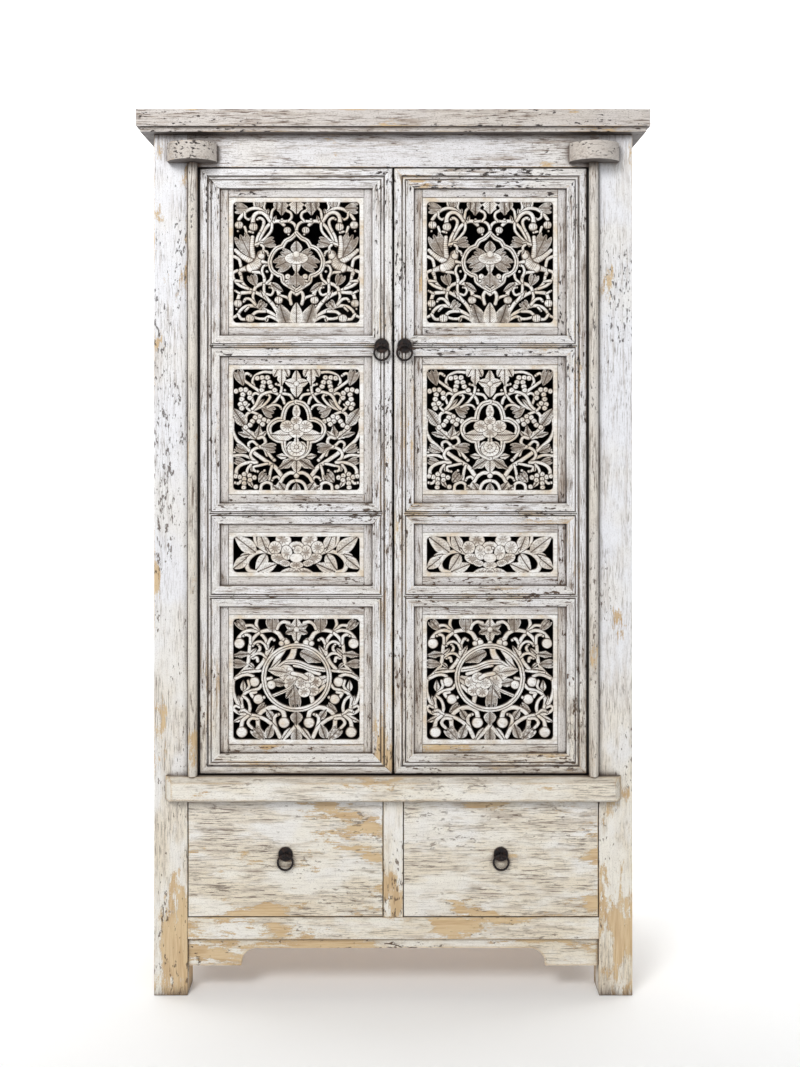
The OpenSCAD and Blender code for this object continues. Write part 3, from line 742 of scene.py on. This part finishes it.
def grape_vines(c):
    # upper vines and grapes
    c.vine([(50, 122), (68, 123), (84, 116), (91, 104), (88, 95)], 2.2, 2.0, knob=3)
    c.vine([(72, 74), (80, 84), (96, 96), (108, 106), (108, 116), (102, 120), (94, 115)], 2.4, 2.2, knob=3)
    c.fan((110, 94), (122, 128), 12)
    c.vine([(73, 72), (84, 78), (92, 72), (91, 64), (88, 56)], 2.0)
    c.vine([(96, 40), (84, 44), (68, 52), (56, 66), (56, 73), (62, 74)], 2.4, 1.8, knob=2.6)
    c.leaf((84, 46), (66, 66), 5)
    c.vine([(96, 40), (87, 48), (80, 60), (74, 72), (64, 78), (50, 80), (36, 74), (28, 66),
            (25, 56)], 2.6, 2.2)
    c.vine([(8, 66), (14, 74), (29, 77)], 2.2)
    c.vine([(33, 76), (31, 92), (42, 97)], 2.2, 1.8, knob=3.2)
    c.ball(24, 84, 2.8)
    c.vine([(34, 74), (44, 60), (56, 50)], 2.0)
    c.fan((72, 46), (46, 35), 14)
    c.vine([(60, 48), (48, 53), (36, 51), (31, 44)], 2.0, 1.8, knob=2.6)
    c.vine([(105, 16), (104, 30), (94, 38), (80, 33)], 2.6, 2.2)
    c.vine([(96, 40), (103, 48), (98, 54)], 2.2, 1.6)
    c.leaf((106, 8), (131, 46), 12, hatch=True)
    for x, z in ((60, 111), (71, 111), (81, 110), (56, 101), (68, 101), (53, 92), (70, 92), (45, 84),
                 (72, 84)):
        c.ball(x, z, 5.9, dimple=True)
    for x, z in ((97, 78), (105, 85), (115, 85), (125, 82), (111, 75), (113, 65), (106, 56), (116, 54),
                 (113, 46), (96, 68)):
        c.ball(x, z, 5.9, dimple=True)
    for x, z in ((58, 18), (67, 21), (76, 28), (85, 26), (77, 18), (70, 12), (91, 18), (96, 10)):
        c.ball(x, z, 5.9, dimple=True)
    # leaves at the sides
    c.leaf((80, -22), (76, 10), 9, hatch=True, lobes=2)
    c.leaf((80, -20), (60, -2), 6)
    c.leaf((84, -20), (114, 6), 9, lobes=3)
    c.leaf((96, -14), (122, -6), 6, hatch=True)
    c.ball(105, 5, 6, dimple=True)
    c.vine([(79, -18), (69, -16), (64, -26), (70, -34), (78, -37)], 2.4)
    c.vine([(80, -34), (90, -25), (99, -29), (98, -39)], 2.4, 1.8, knob=3)
    c.vine([(131, 22), (132, 0), (124, -20), (110, -34), (96, -46)], 2.6)
    c.fan((102, -48), (127, -36), 9)
    c.vine([(96, -60), (112, -54), (132, -56)], 2.4)
    c.ball(128, -48, 3)
    c.fan((102, -72), (129, -64), 9)
    # lower vines
    c.vine([(30, -100), (44, -80), (64, -66), (84, -52), (91, -45)], 3.4, 3.0)
    c.vine([(61, -54), (66, -41), (80, -38), (92, -46), (94, -58), (82, -70)], 2.6, 2.4)
    c.vine([(46, -65), (54, -56), (64, -41), (76, -36)], 2.4)
    c.ball(46, -65, 4)
    c.fan((72, -36), (42, -40), 11)
    c.vine([(50, -76), (54, -90), (56, -106)], 2.2)
    c.vine([(33, -108), (38, -101), (46, -102), (50, -108)], 2.2, 1.8, knob=3)
    c.vine([(50, -128), (52, -116), (62, -112), (72, -118), (74, -128)], 2.4)
    c.fan((78, -112), (62, -92), 11)
    c.vine([(60, -72), (76, -76), (88, -79), (87, -87), (80, -89)], 2.2, 1.8, knob=3)
    c.ball(66, -87, 3.2)
    c.vine([(82, -70), (100, -70), (116, -76), (124, -86), (124, -96)], 2.4, 2.8)
    c.vine([(94, -74), (101, -84), (103, -94)], 2.2)
    c.leaf((92, -90), (92, -76), 3.5)
    c.leaf((101, -106), (89, -124), 5)
    c.vine([(113, -106), (119, -114), (127, -113)], 2.4, 2.0, knob=3.4)
    for x, z in ((87, -102), (97, -98), (108, -95), (108, -105), (117, -101), (126, -99), (108, -114),
                 (109, -123), (84, -122), (96, -107)):
        c.ball(x, z, 5.7, dimple=True)
    # leaves above and below the middle
    c.leaf((30, 133), (31, 93), 12, lobes=3)
    c.leaf((24, 130), (16, 112), 8)
    c.leaf((38, 130), (47, 112), 9)
    c.leaf((4, -62), (38, -84), 11, hatch=True, lobes=2)
    c.leaf((20, -58), (42, -55), 7, lobes=2)
    c.vine([(2, -93), (14, -92), (26, -100), (32, -110), (44, -126)], 2.8)
    c.leaf((22, -134), (36, -112), 9, hatch=True)
    c.leaf((34, -132), (50, -118), 7, hatch=True)
    c.vine([(0, -108), (12, -112), (19, -122), (21, -134)], 2.6)


def quatrefoil(c):
    for c.side in (1, -1):
        grape_vines(c)
    c.side = 1
    c.leaf((0, -136), (0, -113), 9, hatch=True)
    c.leaf((0, -66), (0, -92), 11)
    c.ball(0, -98, 6)
    # four-petalled flower over the medallion
    c.leaf((0, 96), (0, 128), 10)
    c.leaf((0, 100), (0, 68), 13)
    for c.side in (1, -1):
        c.leaf((0, 97), (25, 103), 10)
    c.ball(0, 98, 6, top=0.2)
    # quatrefoil band
    for c.side in (1, -1):
        c.band([(0, 59), (14, 55), (23, 44), (27, 30), (28, 22), (28, 22), (40, 21), (53, 12), (57, 0),
                (52, -13), (40, -22), (27, -24), (27, -24), (25, -40), (17, -53), (0, -61)], 5.4)
    # flower and bell inside it
    for c.side in (1, -1):
        c.leaf((6, -10), (52, -10), 13, skew=-0.12)
    c.side = 1
    c.petal(0, 38, 8, 16, rays=4)
    c.petal(0, -6, 16, 12, rays=8)
    for c.side in (1, -1):
        c.petal(19, 7, 15, 13, rays=10)
        c.leaf((4, -28), (22, -40), 8)
    c.side = 1
    c.petal(0, 19, 12, 10, rays=8)
    c.ball(0, 6, 7, top=0.4)
    c.petal(0, -42, 20, 16, rays=12)
    c.petal(0, -36, 13, 13, rays=8, top=0)
    c.ball(0, -37, 4.5, dimple=True, top=0.2)
    c.leaf((0, -26), (0, -15), 5)


def peony_sprays(c):
    c.vine([(46, 0), (62, 6), (82, 4), (96, -6), (103, -19), (98, -33), (82, -37), (66, -30)], 2.8, 4.0)
    c.leaf((80, -36), (40, -19), 12)
    c.leaf((62, 0), (84, -33), 12, skew=-0.1)
    c.vine([(62, 6), (74, 14), (84, 24), (87, 40)], 2.4, 2.6)
    c.leaf((62, 8), (77, 46), 13)
    c.leaf((84, 14), (99, 27), 6)
    c.leaf((84, 4), (128, 38), 15)
    c.leaf((98, 1), (117, -3), 5)
    c.leaf((103, -8), (131, -30), 12)
    c.leaf((52, 6), (64, 16), 4)
    # outer petals
    c.petal(27, 30, 17, 14, 20, rays=8)
    c.petal(44, 14, 14, 14, -10, rays=10)
    c.petal(36, -9, 18, 11, 22, rays=12)
    c.petal(24, -18, 12, 7, 10, rays=10)
    c.petal(20, -38, 18, 9, -22, rays=8)


def peony(c):
    for c.side in (1, -1):
        peony_sprays(c)
    c.side = 1
    c.petal(0, -36, 9, 8, rays=6)
    c.petal(0, -22, 15, 8, rays=8)
    c.petal(0, 18, 16, 9)
    for c.side in (1, -1):
        c.petal(20, 4, 12, 16, -8, rays=8)
    c.side = 1
    c.petal(-3, 9, 10, 9, -30)
    c.petal(0, -7, 14, 10, top=0.2)
    c.ball(6, 13, 3.4)


def roundel_vines(c):
    # upper vines
    c.vine([(82, 20), (67, 40), (60, 64), (64, 84), (76, 100), (83, 116), (81, 128)], 3.0, 2.4)
    c.vine([(78, 99), (65, 103), (50, 104), (37, 97), (30, 86)], 2.6, 3.6)
    c.fan((50, 100), (50, 131), 14)
    c.vine([(16, 120), (27, 122), (36, 116), (40, 107)], 2.6, 2.4)
    c.vine([(59, 76), (53, 86), (46, 83)], 2.4, 2.2, knob=3.4)
    c.leaf((58, 50), (46, 72), 5)
    c.fan((102, 102), (124, 126), 10)
    c.vine([(80, 104), (92, 114), (104, 114)], 2.4, 2.2)
    c.vine([(78, 100), (94, 104), (108, 100), (118, 90), (121, 84)], 2.6, 3.0)
    c.ball(118, 76, 11.5)
    c.vine([(78, 98), (88, 88), (96, 72), (98, 50), (102, 30), (114, 13), (130, -2)], 2.6, 3.0)
    c.vine([(95, 76), (96, 90), (104, 95), (110, 92)], 2.4, knob=3.4)
    c.vine([(61, 64), (66, 74), (76, 80), (86, 77), (90, 71)], 2.2, 2.0, knob=3)
    c.vine([(80, 56), (75, 66), (80, 74)], 2.4, 2.0, knob=3)
    c.vine([(63, 46), (72, 54), (84, 54), (93, 46)], 2.2)
    c.leaf((97, 52), (82, 66), 5)
    c.vine([(80, 38), (82, 46), (90, 44)], 2.4, 1.8, knob=2.8)
    c.leaf((98, 34), (86, 24), 4)
    c.leaf((110, 18), (84, 22), 5)
    c.vine([(112, 14), (92, 16), (74, 18)], 2.2)
    c.leaf((98, 54), (133, 50), 8, hatch=True, lobes=2)
    c.fan((102, 32), (132, 33), 10)
    c.vine([(124, 2), (112, 8), (100, 10), (90, 6)], 2.6)
    c.ball(87, -6, 11)
    c.leaf((110, -26), (110, -2), 6)
    c.vine([(100, -4), (98, -16), (108, -28)], 2.2)
    # vines beside and below the ring
    c.vine([(131, -2), (131, -26), (124, -47), (112, -63), (100, -75)], 2.6, 3.0)
    c.vine([(72, -12), (78, -20), (92, -24), (106, -30), (114, -44), (112, -60)], 2.4, 2.6)
    c.leaf((114, -54), (121, -34), 4)
    c.vine([(84, -28), (94, -30), (90, -38)], 2.4, 2.6)
    c.ball(79, -43, 11)
    c.vine([(100, -75), (96, -62), (100, -46), (110, -36)], 2.6, 2.2)
    c.ball(67, -39, 3.4)
    c.fan((84, -70), (62, -55), 9)
    c.vine([(62, -122), (76, -108), (80, -88), (74, -72), (58, -62), (42, -61), (29, -68),
            (25, -80)], 3.0, 3.6)
    c.leaf((48, -86), (62, -64), 8, hatch=True)
    c.vine([(34, -124), (42, -104), (46, -88), (44, -79), (36, -75)], 3.2, 2.4, knob=3.4)
    c.vine([(34, -124), (44, -104), (60, -89), (78, -80), (100, -76)], 3.2, 2.8)
    c.leaf((60, -126), (50, -96), 10, hatch=True)
    c.fan((66, -130), (90, -104), 12)
    c.vine([(100, -76), (118, -73), (130, -64), (126, -57), (118, -60)], 2.6, 2.2)
    c.vine([(96, -75), (108, -66), (118, -70)], 2.2, 2.0, knob=2.6)
    c.leaf((100, -78), (132, -92), 6)
    c.vine([(100, -78), (111, -88), (114, -102)], 2.8, 3.2)
    c.ball(113, -113, 12)
    c.vine([(80, -84), (94, -84), (100, -94), (92, -104)], 2.6, 2.4)
    c.ball(26, -93, 12)
    c.vine([(0, -98), (10, -110), (28, -128)], 3.0, 3.2)
    c.leaf((12, -104), (32, -132), 6)
    c.leaf((23, 88), (26, 70), 8, veins=False)
    c.ball(20, 78, 7)
    c.ball(31, 76, 6)


def roundel(c):
    for c.side in (1, -1):
        roundel_vines(c)
    c.side = 1
    c.leaf((0, -70), (0, -98), 13, hatch=True)
    c.leaf((0, -136), (0, -104), 12, hatch=True)
    # flower over the ring
    c.leaf((0, 104), (0, 130), 11)
    c.leaf((0, 108), (0, 76), 10)
    c.ball(0, 78, 5)
    for c.side in (1, -1):
        c.leaf((0, 106), (24, 116), 8, hatch=True)
        c.leaf((0, 106), (24, 97), 8, hatch=True)
    c.ball(0, 106, 6, top=0.2)
    c.side = 1
    # wading bird and blossom inside the ring
    c.leaf((-8, 58), (-52, 36), 15, hatch=True, lobes=2)
    c.vine([(5, 64), (8, 52), (16, 38)], 4.5, 5.5)
    c.vine([(28, 62), (38, 46), (46, 26)], 4.5)
    c.leaf((32, 44), (56, 20), 5)
    c.vine([(-47, 11), (-32, 16), (-16, 25), (4, 29)], 3.0, 2.6)
    c.band([(-58, 20), (-30, 25), (-4, 35), (20, 36), (36, 26)], 5.2)
    c.petal(22, 14, 17, 18, -25, rays=8)
    c.petal(12, -6, 14, 17, 30, rays=8)
    c.leaf((20, 14), (60, 20), 11)
    c.band([(-8, 6), (6, -12), (22, -24), (54, -38)], 3.6)
    c.leaf((24, -10), (52, -4), 9, hatch=True)
    c.vine([(52, 2), (62, 0)], 2.4)
    c.ball(52, -12, 10, dimple=True)
    c.leaf((-64, 4), (-36, -12), 11, lobes=2)
    c.vine([(-58, -14), (-46, -26), (-34, -34)], 2.8)
    c.vine([(-30, -30), (-34, -52)], 3.6, 3.2)
    c.fan((6, -10), (2, -62), 13)
    c.leaf((8, -20), (22, -42), 7, hatch=True)
    for x, z in ((-40, -6), (-34, -24), (-16, -27), (-10, -9), (-25, 3)):
        c.petal(x, z, 13, 12, rays=8)
    c.vine([(-20, 2), (-10, 8), (8, 12)], 3.4)
    c.ball(-24, -13, 6, top=0.4)
    # ring
    turns = [(68 * math.cos(a), 3 + 68 * math.sin(a)) for a in np.radians(np.arange(0, 361, 20))]
    c.band(turns, 5.4)


# ---------------------------------------------------------------- from relief to closed mesh

RELIEF_GAIN = 1.5
RIM_DROP = 0.35
# the cut rims' extra glazing and painted shade
RIM_GLAZE_AND_SHADE = 0.25
CARVED_SHARP = math.radians(52)
WELD_REACH = 0.00001


def softened(field, reach):
    """The field, averaged twice over a square window."""
    for axis in (0, 1, 0, 1):
        field = sum(np.roll(field, s, axis) for s in range(-reach, reach + 1)) / (2 * reach + 1)
    return field


def carved_faces(carving):
    """Front faces of the carving: corners (x, z, relief, glazing and painted shade) and polygons of corner
    numbers.
    """
    on = carving.inside > 0
    sharp_dip = np.clip((softened(carving.relief, 1) - carving.relief) * 1.5, 0, 0.8)
    broad_dip = np.clip((softened(carving.relief, 3) - carving.relief) * 0.30, 0, 0.8)
    # painted shade: darker the deeper the wood lies
    deep = np.clip((-carving.relief - 1.05) * 0.34, 0, 0.95)
    hollow_glaze_and_shade = np.maximum(np.maximum(sharp_dip, broad_dip), deep)
    corners = []
    number = np.full(on.shape, -1)
    number[on] = np.arange(on.sum())
    for j, i in zip(*np.nonzero(on)):
        corners.append((carving.x[i], carving.z[j], carving.relief[j, i], hollow_glaze_and_shade[j, i]))
    crossings = {}

    def crossing(p, q):
        key = (p, q) if p < q else (q, p)
        if key not in crossings:
            (j0, i0), (j1, i1) = key
            f0, f1 = carving.inside[j0, i0], carving.inside[j1, i1]
            t = min(max(f0 / (f0 - f1), 0.1), 0.9)
            keep = (j0, i0) if on[j0, i0] else (j1, i1)
            crossings[key] = len(corners)
            corners.append((carving.x[i0] + t * (carving.x[i1] - carving.x[i0]),
                            carving.z[j0] + t * (carving.z[j1] - carving.z[j0]),
                            carving.relief[keep] - RIM_DROP, min(1.0, hollow_glaze_and_shade[keep] + RIM_GLAZE_AND_SHADE)))
        return crossings[key]

    whole = on[:-1, :-1] & on[:-1, 1:] & on[1:, 1:] & on[1:, :-1]
    some = (on[:-1, :-1] | on[:-1, 1:] | on[1:, 1:] | on[1:, :-1]) & ~whole
    quads = np.stack([number[:-1, :-1], number[:-1, 1:], number[1:, 1:], number[1:, :-1]], -1)[whole]
    polygons = [tuple(int(v) for v in q) for q in quads]
    for j, i in zip(*np.nonzero(some)):
        loop = [(j, i), (j, i + 1), (j + 1, i + 1), (j + 1, i)]
        polygon = []
        for p, q in zip(loop, loop[1:] + loop[:1]):
            if on[p]:
                polygon.append(int(number[p]))
            if on[p] != on[q]:
                polygon.append(crossing(p, q))
        polygons.append(tuple(polygon))
    return np.array(corners), polygons


def back_faces(points, rim, flip):
    """Large triangles that fill the outline given by the rim's edges, as corner numbers, seen from behind."""
    used = sorted({v for edge in rim for v in edge})
    place = {v: k for k, v in enumerate(used)}
    flat = [Vector(points[v] / MM) for v in used]
    outline = [(place[a], place[b]) for a, b in rim]
    _, _, faces, origins, _, _ = geometry.delaunay_2d_cdt(flat, outline, [], 0, WELD_REACH)
    corner = [used[o[0]] for o in origins]
    walls = set(rim)
    triangles = [tuple(corner[v] for v in face) for face in faces]
    neighbours = {}
    for k, face in enumerate(triangles):
        for edge in zip(face, face[1:] + face[:1]):
            neighbours.setdefault(frozenset(edge), []).append(k)
    inside = set()
    for k, face in enumerate(triangles):
        for edge in zip(face, face[1:] + face[:1]):
            if (edge if flip > 0 else edge[::-1]) in walls:
                inside.add(k)
    queue = list(inside)
    while queue:
        face = triangles[queue.pop()]
        for edge in zip(face, face[1:] + face[:1]):
            if edge in walls or edge[::-1] in walls:
                continue
            for other in neighbours[frozenset(edge)]:
                if other not in inside:
                    inside.add(other)
                    queue.append(other)
    return [triangles[k][::-1] if flip > 0 else triangles[k] for k in sorted(inside)]


def carved_mesh(name, carving, thickness, mirror):
    """A closed mesh with a carved front facing -Y, straight sides and a flat back.

    Its own origin is in the middle of the front.
    """
    corners, polygons = carved_faces(carving)
    count = len(corners)
    flip = -1 if mirror else 1
    front = np.stack([corners[:, 0] * flip, -corners[:, 2] * RELIEF_GAIN, corners[:, 1]], -1) * MM
    back = front.copy()
    back[:, 1] = thickness
    used = dict.fromkeys(edge for polygon in polygons for edge in zip(polygon, polygon[1:] + polygon[:1]))
    rim = [(a, b) for a, b in used if (b, a) not in used]
    walls = [(b, a, a + count, b + count) for a, b in rim]
    behind = back_faces(front[:, [0, 2]], rim, flip)
    faces = polygons + walls + [tuple(v + count for v in face) for face in behind]
    if mirror:
        faces = [tuple(reversed(face)) for face in faces]
    mesh = bpy.data.meshes.new(name)
    mesh.from_pydata(np.concatenate([front, back]).tolist(), [], faces)
    shade = mesh.attributes.new("hollow_glaze_and_shade", "FLOAT", "POINT")
    # the back corners get 1, so the sides of the cuts come out near black: painted shade
    shade.data.foreach_set("value", np.concatenate([corners[:, 3], np.ones(count)]).astype(np.float32))
    solid = bmesh.new()
    solid.from_mesh(mesh)
    bmesh.ops.delete(solid, geom=[v for v in solid.verts if not v.link_faces], context="VERTS")
    solid.to_mesh(mesh)
    solid.free()
    mesh.shade_smooth()
    mesh.set_sharp_from_angle(angle=CARVED_SHARP)
    return mesh


# ---------------------------------------------------------------- the frame's own pieces

GRAIN_X = ("top_board", "lintel", "left_pivot_block", "right_pivot_block", "sill", "bottom_rail",
           "front_apron")
GRAIN_Y = ("left_side_rails", "right_side_rails", "side_aprons")
GRAIN_Z = ("left_front_leg", "right_front_leg", "left_back_leg", "right_back_leg", "drawer_divider",
           "left_side_panels", "right_side_panels")

PIVOT_BLOCK = dict(flecks=1.2, warmth=0.7, streaks=1.2, drab=0.75)
SPECIAL = {
    "top_board": dict(wear=0.03, flecks=1.8, streaks=2.0, drab=0.7, warmth=0.3),
    "lintel": dict(wear=0.05, flecks=1.2, streaks=1.9, drab=0.25),
    "sill": dict(wear=0.035, flecks=0.6, warmth=0.3, streaks=1.1, edge_wear=1.6, rub=0.007),
    "bottom_rail": dict(wear=-0.045, flecks=0.8, streaks=1.0),
    "front_apron": dict(wear=-0.045, flecks=1.3, warmth=0.1, streaks=1.1, edge_wear=2.0, rub=0.011),
    "left_pivot_block": PIVOT_BLOCK,
    "right_pivot_block": PIVOT_BLOCK,
    "left_front_leg": dict(streaks=1.0, wear=0.005, drab=0.06),
    "right_front_leg": dict(streaks=0.95, wear=0.01),
    "drawer_divider": dict(streaks=0.6, wear=0.01),
}


ARRIS = 0.0011
IRON_ARRIS = 0.0004
ARRIS_ANGLE = math.radians(40)


def dress(name, material, rounding=ARRIS):
    """Gives a CAD node its material and softens its arrises."""
    obj = NODES[name]
    obj.data.materials.clear()
    obj.data.materials.append(material)
    weld = obj.modifiers.new("weld", "WELD")
    weld.merge_threshold = WELD_REACH
    bevel = obj.modifiers.new("arris", "BEVEL")
    bevel.width = rounding
    bevel.segments = 2
    bevel.limit_method = "ANGLE"
    bevel.angle_limit = ARRIS_ANGLE
    bevel.loop_slide = False


for names, grain in ((GRAIN_X, "x"), (GRAIN_Y, "y"), (GRAIN_Z, "z")):
    for k, node_name in enumerate(names):
        look = SPECIAL.get(node_name, {})
        dress(node_name, painted("paint_" + node_name, grain, 0.37 * k, inner=True, **look))

dark_stained = timber("stained_boards", "x", srgb(58, 44, 36), srgb(30, 23, 20))
stained_side = timber("stained_bearers", "y", srgb(64, 48, 38), srgb(34, 26, 22), 2.0)
pine_x = timber("pine_across", "x", srgb(206, 170, 124), srgb(158, 116, 74))
pine_y = timber("pine_deep", "y", srgb(200, 164, 118), srgb(150, 110, 70), 1.5)
black_iron = iron("black_iron")

back_x = timber("back_rail_wood", "x", srgb(190, 168, 138), srgb(132, 108, 82), 3.0, inner=True)
back_z = timber("back_panel_wood", "z", srgb(196, 174, 144), srgb(136, 112, 86), 4.0, inner=True)
dress("back_rails", back_x)
dress("back_panels", back_z)
for node_name in ("door_stop", "cupboard_floor", "lower_shelf", "upper_shelf"):
    dress(node_name, dark_stained)
dress("shelf_bearers", stained_side)
for node_name in ("drawer_runners", "drawer_guides", "drawer_kickers"):
    dress(node_name, pine_y)

MOULDING = dict(flecks=1.2, glaze=1.5, edge_highlight=0.85, warmth=0.1)
NOISE_SHIFT = {"left": 1.0, "right": 2.3}

for side, shift in NOISE_SHIFT.items():
    side += "_"
    paints = {
        "door_outer_stile": painted(side + "outer_stile_paint", "z", shift, behind_rod=True, streaks=1.75,
                                    drab=0.1, **MOULDING),
        "door_inner_stile": painted(side + "stile_paint", "z", shift + 0.8, streaks=1.75, drab=0.1,
                                    **MOULDING),
        "door_rails": painted(side + "rail_paint", "x", shift + 3, streaks=1.8, drab=0.12, **MOULDING),
        "door_strips": painted(side + "strip_paint", "strips", shift + 5, flecks=1.3, glaze=1.6, warmth=0.1,
                               drab=0.42, streaks=2.0),
        "pivot_rod": painted(side + "rod_paint", "z", shift + 7, warmth=0.7, streaks=1.4, drab=0.35),
        "drawer_front": painted(side + "drawer_paint", "x", shift + 9, flecks=0.7, streaks=1.35, wear=-0.02),
        "drawer_box": pine_y,
        "drawer_bottom": pine_x,
    }
    for part, paint in paints.items():
        dress(side + part, paint)
    for part in ("door_pull_plate", "door_ring", "drawer_pull_plate", "drawer_ring"):
        dress(side + part, black_iron, IRON_ARRIS)


# ---------------------------------------------------------------- carved panels of the doors

PANELS = {"birds": birds, "quatrefoil": quatrefoil, "peony": peony, "roundel": roundel}
SQUARE_SQUASH = 0.97
BORDER = 9.5
CORNER = 9.0

for name, motif in PANELS.items():
    for side, sign in SIDES.items():
        node_name = side + "_fret_" + name
        low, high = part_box(node_name)
        size = (high - low) / MM
        carving = Carving(size.x, size.z)
        carving.tall = 1.0 if name == "peony" else SQUARE_SQUASH
        motif(carving)
        carving.side = 1
        carving.frame(BORDER, CORNER)
        mesh = carved_mesh("carved_" + node_name, carving, high.y - low.y, sign < 0)
        panel = bpy.data.objects.new(side + "_carved_" + name, mesh)
        bpy.context.scene.collection.objects.link(panel)
        panel.location = ((low.x + high.x) / 2, low.y, (low.z + high.z) / 2)
        mesh.materials.append(glazed_carving(side + "_glaze_" + name, 1.3 * sign + len(name)))
        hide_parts(node_name)
        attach(panel, side + "_door")


# ---------------------------------------------------------------- stage, light and camera

def sweep(name, width, near, far, height, radius):
    """A floor that curves up into a wall behind the object."""
    turn = [(far - radius + radius * math.sin(a), radius - radius * math.cos(a))
            for a in np.linspace(0, math.pi / 2, 16)]
    line = [(near, 0.0)] + turn + [(far, height)]
    rows = [[(x, y, z) for x in (-width, width)] for y, z in line]
    verts = [v for row in rows for v in row]
    faces = [(2 * k, 2 * k + 1, 2 * k + 3, 2 * k + 2) for k in range(len(rows) - 1)]
    mesh = bpy.data.meshes.new(name)
    mesh.from_pydata(verts, [], faces)
    mesh.shade_smooth()
    obj = bpy.data.objects.new(name, mesh)
    bpy.context.scene.collection.objects.link(obj)
    return obj


def softbox(name, place, target, width, height, watts, colour=(1, 1, 1)):
    light = bpy.data.lights.new(name, "AREA")
    light.shape = "RECTANGLE"
    light.size = width
    light.size_y = height
    light.energy = watts
    light.color = colour
    obj = bpy.data.objects.new(name, light)
    obj.location = place
    obj.rotation_euler = (Vector(target) - Vector(place)).to_track_quat("-Z", "Y").to_euler()
    bpy.context.scene.collection.objects.link(obj)


floor = sweep("studio_sweep", width=9.0, near=-9.0, far=3.2, height=6.0, radius=1.2)
floor.data.materials.append(studio_paper("studio_paper", srgb(250, 250, 250)))

MIDDLE = (0.0, -0.2, 0.95)
softbox("key", (-1.3, -3.1, 3.1), MIDDLE, 1.3, 1.3, 86, (1.0, 0.99, 0.97))
softbox("fill", (2.3, -3.4, 1.5), MIDDLE, 2.4, 2.6, 20, (0.96, 0.98, 1.0))
softbox("behind", (0.0, 1.5, 0.40), (0.0, -0.1, 0.0), 0.9, 0.3, 5)
for side, sign in SIDES.items():
    softbox("wall_" + side, (2.6 * sign, 1.0, 2.8), (2.0 * sign, 3.2, 1.4), 1.6, 2.4, 90)

world = bpy.data.worlds.new("studio")
world.use_nodes = True
sky = world.node_tree.nodes["Background"]
sky.inputs["Color"].default_value = (0.96, 0.98, 1.0, 1.0)
sky.inputs["Strength"].default_value = 0.27
bpy.context.scene.world = world
bpy.context.scene.view_settings.view_transform = "Standard"

camera_data = bpy.data.cameras.new("camera")
camera_data.sensor_width = 36.0
camera_data.lens = 41.0
camera_data.shift_y = -0.106
camera = bpy.data.objects.new("camera", camera_data)
camera.location = (0.014, -2.70, 1.183)
camera.rotation_euler = (math.pi / 2, 0.0, 0.0)
bpy.context.scene.collection.objects.link(camera)
bpy.context.scene.camera = camera
